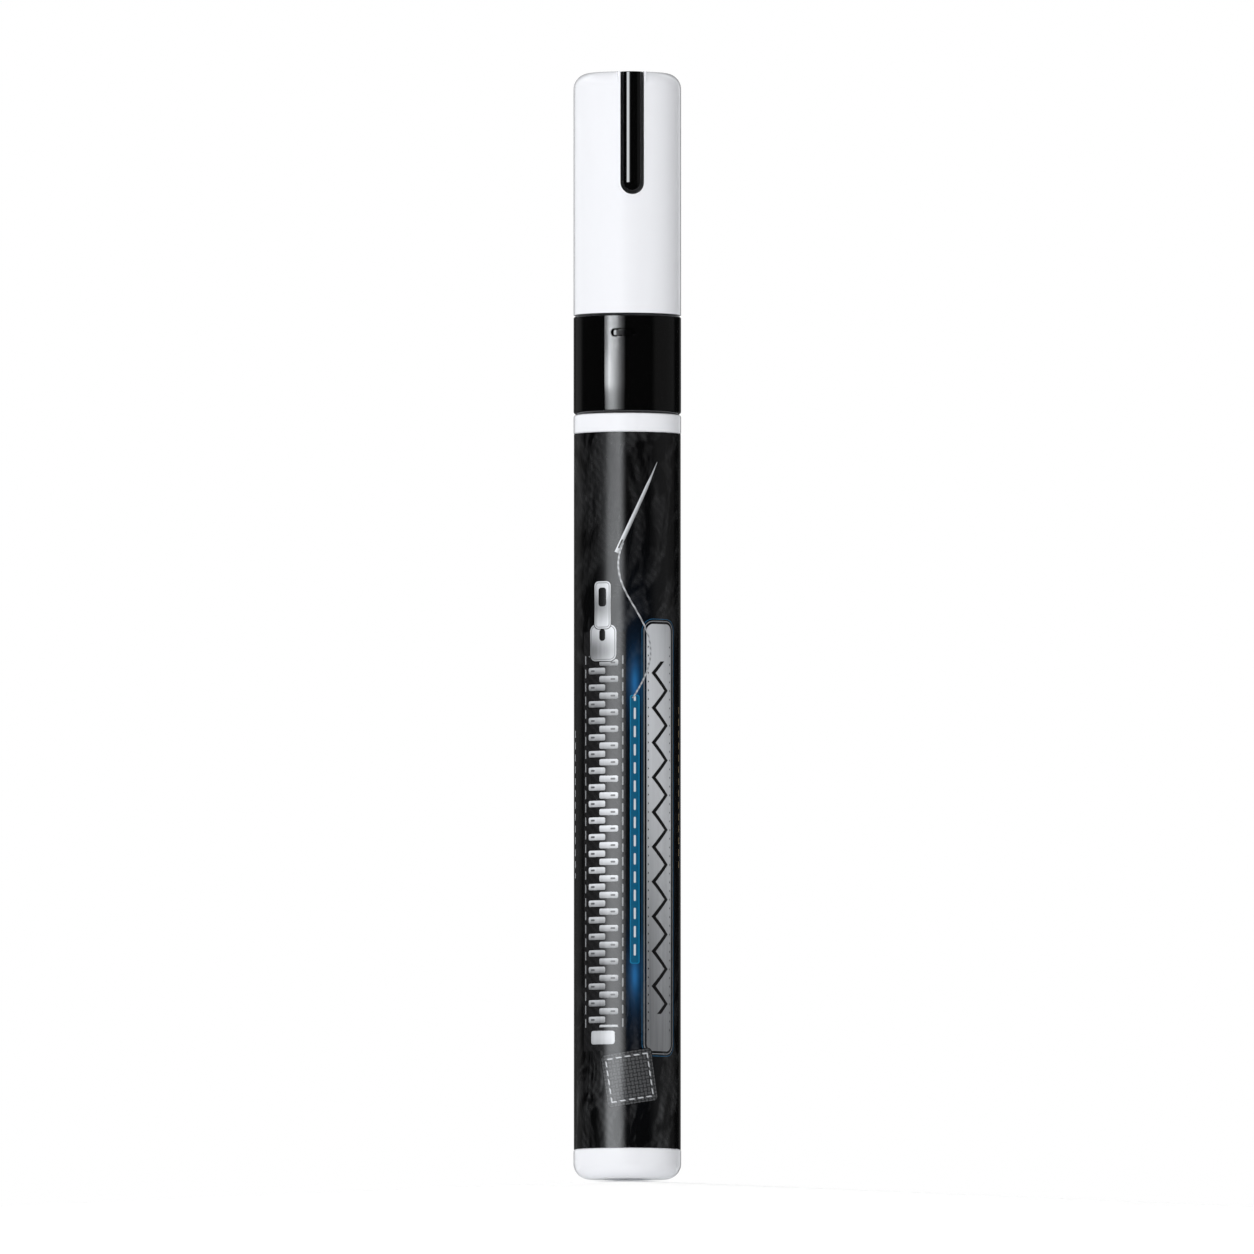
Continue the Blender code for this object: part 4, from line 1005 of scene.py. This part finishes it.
class MARKER_OT_cap(bpy.types.Operator):
    """Build the white cap, the black rib in its slot and the seal cup inside it"""

    bl_idname = "marker.cap"
    bl_label = "Cap"

    def execute(self, context):
        sizes = context.scene.marker_sizes
        self.shell(sizes)
        self.rib(sizes)
        self.seal_cup()
        return {"FINISHED"}

    def shell(self, sizes):
        """The cap is turned, with a bead in its bore and a boss under its crown. The lip is joined on, and the rib's
        slot is cut through both."""
        radius, rim, top, soft = sizes.body_radius, CAP_LOW.z, CAP_HIGH.z, 0.1 * MM
        boss, boss_bore, boss_foot = 2.4 * MM, 1.25 * MM, CROWN_INSIDE - 1.6 * MM
        lead_in = 0.3 * MM
        cap = turned("cap_skin", [
            (0.0, top), (radius, top, sizes.crown_fillet), (radius, rim, soft / 2),
            (CAP_BORE + lead_in, rim, soft / 2), (CAP_BORE, rim + lead_in, soft),
            *bead(CAP_BORE, NECK_BEAD_HEIGHT - 1.15 * MM, -0.9 * MM, -0.13 * MM),
            (CAP_BORE, CROWN_INSIDE, 0.5 * MM), (boss, CROWN_INSIDE, soft), (boss, boss_foot, soft),
            (boss_bore, boss_foot, soft), (boss_bore, CROWN_INSIDE), (0.0, CROWN_INSIDE),
        ])
        width, foot = sizes.rib_width + 2 * PLAY, RIB_FOOT - PLAY
        back = 0.3 * MM - math.sqrt(CAP_BORE**2 - (width / 2) ** 2)
        slot = prism("slot", pill_outline(width, foot, top + BEYOND), -radius - BEYOND, back, RIB_TURN)
        carve(cap, (self.lip(sizes, width, foot), "UNION"), (slot, "DIFFERENCE"))
        stands_for(cap, "cap_shell", "cap", "white_plastic")

    def lip(self, sizes, slot_width, slot_foot):
        """A slim raised border for the slot: a turned ring that stands out of the cap by the lip's height, kept
        where it lies in the pill outline one lip's width wider than the slot."""
        radius, border, sunk = sizes.body_radius, 0.3 * MM, 0.3 * MM
        outer, crest, foot = radius + sizes.lip_height, CAP_HIGH.z - 0.05 * MM, RIB_FOOT - sizes.rib_width
        in_wall, in_crown, crown = CAP_BORE + sunk, radius - sizes.crown_fillet - sunk, CROWN_INSIDE + sunk
        ring = turned("lip_ring", [
            (outer, crest, 0.12 * MM), (outer, foot), (in_wall, foot), (in_wall, crown), (in_crown, crown),
            (in_crown, crest),
        ])
        front = pill_outline(slot_width + 2 * border, slot_foot - border, CAP_HIGH.z + BEYOND)
        return carve(ring, (prism("lip_front", front, -radius - BEYOND, 0.0, RIB_TURN), "INTERSECT"))

    def rib(self, sizes):
        """The rib is an upright rod with a hemispherical foot, cut off behind, on a curved flange that lies behind
        the cap's wall."""
        width, radius = sizes.rib_width, sizes.rib_width / 2
        foot, crest, top = RIB_LOW.z, RIB_HIGH.z, RIB_HIGH.z - 1.7 * MM
        middle = radius - (BARREL_HIGH.x + 0.34 * MM)
        outer, inner = CAP_BORE - PLAY, INNER_CAP_HIGH.x + 0.15 * MM
        rod = turned("rib_skin", [
            (0.0, crest), (radius, crest, 0.12 * MM), (radius, RIB_FOOT, radius * 0.999), (0.0, RIB_FOOT),
        ], CORE_SEGMENTS)
        rod.data.transform(Matrix.Translation((0.0, middle, 0.0)))
        front = box_outline(width, RIB_FOOT - width, crest + width)
        keep = prism("rib_front", front, middle - width, -(outer + inner) / 2)
        flange = turned("rib_flange", [(outer, top), (outer, foot), (inner, foot), (inner, top)])
        front = box_outline(radius + 0.85 * MM, foot - width, crest)
        carve(flange, (prism("flange_front", front, -BARREL_HIGH.x, 0.0), "INTERSECT"))
        turn_about_axis(carve(rod, (keep, "INTERSECT"), (flange, "UNION")), RIB_TURN)
        stands_for(rod, "colour_rib", "cap", "black_plastic")

    def seal_cup(self):
        """The soft cup and its stud, turned."""
        outer, bore, stud, soft, round_edge = INNER_CAP_HIGH.x, LAND + PLAY, 1.2 * MM, 0.1 * MM, 0.25 * MM
        top, mouth, ceiling = INNER_CAP_HIGH.z, INNER_CAP_LOW.z, NIB_HIGH.z + 0.6 * MM
        shoulder = ceiling + 0.8 * MM
        cup = turned("inner_cap_skin", [
            (0.0, top), (stud, top, soft), (stud, shoulder), (outer, shoulder, 0.6 * MM), (outer, mouth, soft),
            (bore, mouth, round_edge), (bore, ceiling, round_edge), (0.0, ceiling),
        ], CORE_SEGMENTS)
        stands_for(cup, "inner_cap", "cap", "seal_cup_plastic")


class MARKER_OT_stage(bpy.types.Operator):
    """Set up the floor, the studio light and the camera"""

    bl_idname = "marker.stage"
    bl_label = "Stage"

    def execute(self, context):
        scene = context.scene
        self.camera(scene, scene.marker_studio)
        self.floor()
        self.world(scene, scene.marker_studio)
        for lamp in LAMPS:
            self.lamp(scene, *lamp)
        self.cards(scene)
        scene.view_settings.view_transform = "Standard"
        return {"FINISHED"}

    def camera(self, scene, studio):
        """A long lens, a little below the pen's middle and looking up at it."""
        lens = bpy.data.cameras.new("camera")
        lens.lens = lens.sensor_width * studio.distance / studio.frame_width
        lens.clip_start = 0.5
        lens.clip_end = 50.0
        camera = bpy.data.objects.new("camera", lens)
        aside, drop = -0.04 * MM, studio.distance * math.sin(studio.rise)
        camera.location = (aside, -studio.distance * math.cos(studio.rise), studio.aim_height - drop)
        camera.rotation_euler = (math.pi / 2 + studio.rise, 0.0, 0.0)
        scene.collection.objects.link(camera)
        scene.camera = camera

    def floor(self):
        """A white floor: a mound so shallow that it looks level. It touches the foot's ring behind the axis, and falls
        by slope * d^2 / (d + ease) at a distance d from there. Its slope is a little steeper than the camera's line
        of sight from below, so the foot shows whole. Far off it shines, to the camera only, up to the white world."""
        slope, ease = math.tan(math.radians(3.2)), 0.5 * MM
        flat, touch, nearest, edge, rings = 0.4 * MM, 4.3 * MM, 0.2 * MM, 12.0, 48
        away = np.concatenate([[0.0], np.geomspace(nearest, edge, rings)])
        radius = np.concatenate([[0.0], flat + away])[:, None]
        height = np.concatenate([[0.0], -slope * away**2 / (away + ease)])[:, None]
        points = round_grid(radius, height, all_round(FLOOR_SEGMENTS)) + (0.0, touch, 0.0)
        floor = surface("floor", points, inside_out=True)
        finish = Finish("floor_paper")
        paper = finish.blend(finish.noise(0.05), (0.92, 0.92, 0.92), (0.95, 0.95, 0.95))
        finish.values(Base_Color=paper, Roughness=0.9, Specular_IOR_Level=0.0)
        x, y, _ = finish.axes()
        far = x.length_with(y).along(((0, 0.25), (600, 0.25), (2500, 1.0), (12000, 1.0)))
        seen = finish.node("LightPath").outputs["Is Camera Ray"]
        finish.show_sum(finish.shader, finish.node("Emission", Strength=far.calculate("MULTIPLY", seen)))
        floor.data.materials.append(finish.material)
        floor.visible_glossy = False

    def world(self, scene, studio):
        """White where the camera looks. Glossy surfaces see a dark room, a little paler behind the pen and at both
        sides. Everything else gets an even grey light."""
        scene.world = bpy.data.worlds.new("studio")
        scene.world.use_nodes = True
        nodes = Nodes(scene.world.node_tree)
        nodes.tree.nodes.clear()
        split = nodes.node("SeparateXYZ", nodes.node("TexCoord").outputs["Generated"])
        path = nodes.node("LightPath")
        x, y = (Field(nodes, split.outputs[axis]) for axis in "XY")
        camera, glossy, through = (
            Field(nodes, path.outputs[f"Is {ray} Ray"]) for ray in ("Camera", "Glossy", "Transmission"))
        behind = y.ramp(0.84, 0.90) * 0.08
        left = x.ramp(-0.50, -0.62) * y.ramp(0.30, 0.60) * 0.12
        right = x.ramp(0.80, 0.92) * 0.08
        seen = camera.most(through)
        unseen = glossy * (behind + left + right + 0.01) + (1.0 - glossy) * studio.ambient
        strength = seen + (1.0 - seen) * unseen
        nodes.node("OutputWorld", nodes.node("Background", (1.0, 1.0, 1.0, 1.0), strength))

    def lamp(self, scene, name, azimuth, elevation, distance, size, watts):
        """A square area lamp that faces the pen's middle. Azimuth 0 is at the front, positive to the right."""
        data = bpy.data.lights.new(name, "AREA")
        data.size = size
        data.energy = watts
        lamp = bpy.data.objects.new(name, data)
        turn, tilt = math.radians(azimuth), math.radians(elevation)
        side, back, up = math.sin(turn) * math.cos(tilt), -math.cos(turn) * math.cos(tilt), math.sin(tilt)
        lamp.location = (side * distance, back * distance, up * distance + LAMP_AIM)
        lamp.rotation_euler = (math.pi / 2 - tilt, 0.0, turn)
        lamp.visible_glossy = False
        lamp.visible_camera = False
        scene.collection.objects.link(lamp)

    def cards(self, scene):
        """Light cards that only glossy surfaces see, for three groups of pieces. The printed and the dark pieces see
        a tall softbox at the left front, in stages, one for each part of the pen that it shows in, and dim cards at
        both sides. The white pieces see a pale wall on either side, a low one behind that shows in the underside of
        the foot, and a disc far above and below."""
        pieces = [piece for piece in scene.objects if piece.type == "MESH" and piece.data.materials]
        groups = {name: bpy.data.collections.new(f"{name}_pieces") for name in ("white", "printed", "dark")}
        group_of = {finishes()["white_plastic"]: "white", finishes()["label_print"]: "printed"}
        for piece in pieces:
            groups[group_of.get(piece.data.materials[0], "dark")].objects.link(piece)
        for name, group, reach, around, up in CARDS:
            self.card(name, around, up, groups[group], reach)
        for name, height, outwards in DISCS:
            self.disc(name, height * MM, outwards, groups["white"])

    def card(self, name, around, up, receivers, reach):
        """An upright strip of a cylinder at this reach from the pen. It lights only the receivers, and every ray
        goes on through it. Its strength is that of the (azimuth in degrees, strength) lines round the pen, times
        that of the (height in millimetres, share) lines up the card. The azimuth is worked out from the card's own
        middle, so that it runs on across the back."""
        angles = np.radians(np.linspace(around[0][0], around[-1][0], CARD_STEPS + 1))
        heights = np.array([up[0][0], up[-1][0]])[:, None] * MM
        card = surface(name, round_grid(reach, heights, angles), wrap_columns=False)
        finish = Finish(name)
        x, y, z = finish.axes()
        middle = (around[0][0] + around[-1][0]) / 2
        side, back = turned_by(x, y, middle)
        azimuth = side.bearing(-back) * math.degrees(1) + middle
        self.glow(card, finish, azimuth.along(around) * z.along(up), receivers)

    def disc(self, name, height, outwards, receivers):
        """A level disc at this height, whose strength is that of the (distance from the axis in millimetres,
        strength) lines."""
        radius = np.array([[0.0], [outwards[-1][0] * MM]])
        card = surface(name, round_grid(radius, height, all_round(DISC_SEGMENTS)))
        finish = Finish(name)
        x, y, _ = finish.axes()
        self.glow(card, finish, x.length_with(y).along(outwards), receivers)

    def glow(self, card, finish, strength, receivers):
        """Makes a card shine this strongly on the receivers' gloss, and lets every ray go on through it."""
        shine = finish.node("Emission", CARD_TINT, strength)
        finish.show_sum(shine, finish.node("BsdfTransparent"))
        finish.tree.nodes.remove(finish.shader)
        finish.material.cycles.emission_sampling = "NONE"
        card.data.materials.append(finish.material)
        card.visible_camera = False
        card.visible_diffuse = False
        card.visible_shadow = False
        card.visible_transmission = False
        card.light_linking.receiver_collection = receivers


class MARKER_PT_panel(bpy.types.Panel):
    """The pieces of the marker"""

    bl_idname = "MARKER_PT_panel"
    bl_label = "Fabric repair marker"
    bl_space_type = "VIEW_3D"
    bl_region_type = "UI"
    bl_category = "Marker"

    def draw(self, context):
        layout = self.layout
        for settings, group in GROUPS.items():
            box = layout.box()
            for name in group.__annotations__:
                box.prop(getattr(context.scene, settings), name)
        for operator in OPERATORS:
            layout.operator(operator.bl_idname)


OPERATORS = (
    MARKER_OT_barrel,
    MARKER_OT_label,
    MARKER_OT_collar,
    MARKER_OT_nose,
    MARKER_OT_valve,
    MARKER_OT_balls,
    MARKER_OT_cap,
    MARKER_OT_stage,
)
GROUPS = {"marker_sizes": MarkerSizes, "marker_colours": MarkerColours, "marker_studio": StudioSettings}
CLASSES = (*GROUPS.values(), *OPERATORS, MARKER_PT_panel)


def register():
    """Registers the classes and hangs the settings on the scene."""
    for cls in CLASSES:
        bpy.utils.register_class(cls)
    for settings, group in GROUPS.items():
        setattr(bpy.types.Scene, settings, bpy.props.PointerProperty(type=group))


def unregister():
    """Takes the settings and the classes away again."""
    for settings in GROUPS:
        delattr(bpy.types.Scene, settings)
    for cls in reversed(CLASSES):
        bpy.utils.unregister_class(cls)


def main():
    """Builds every piece and the stage."""
    register()
    for operator in OPERATORS:
        group, name = operator.bl_idname.split(".")
        getattr(getattr(bpy.ops, group), name)()


if __name__ == "__main__":
    main()
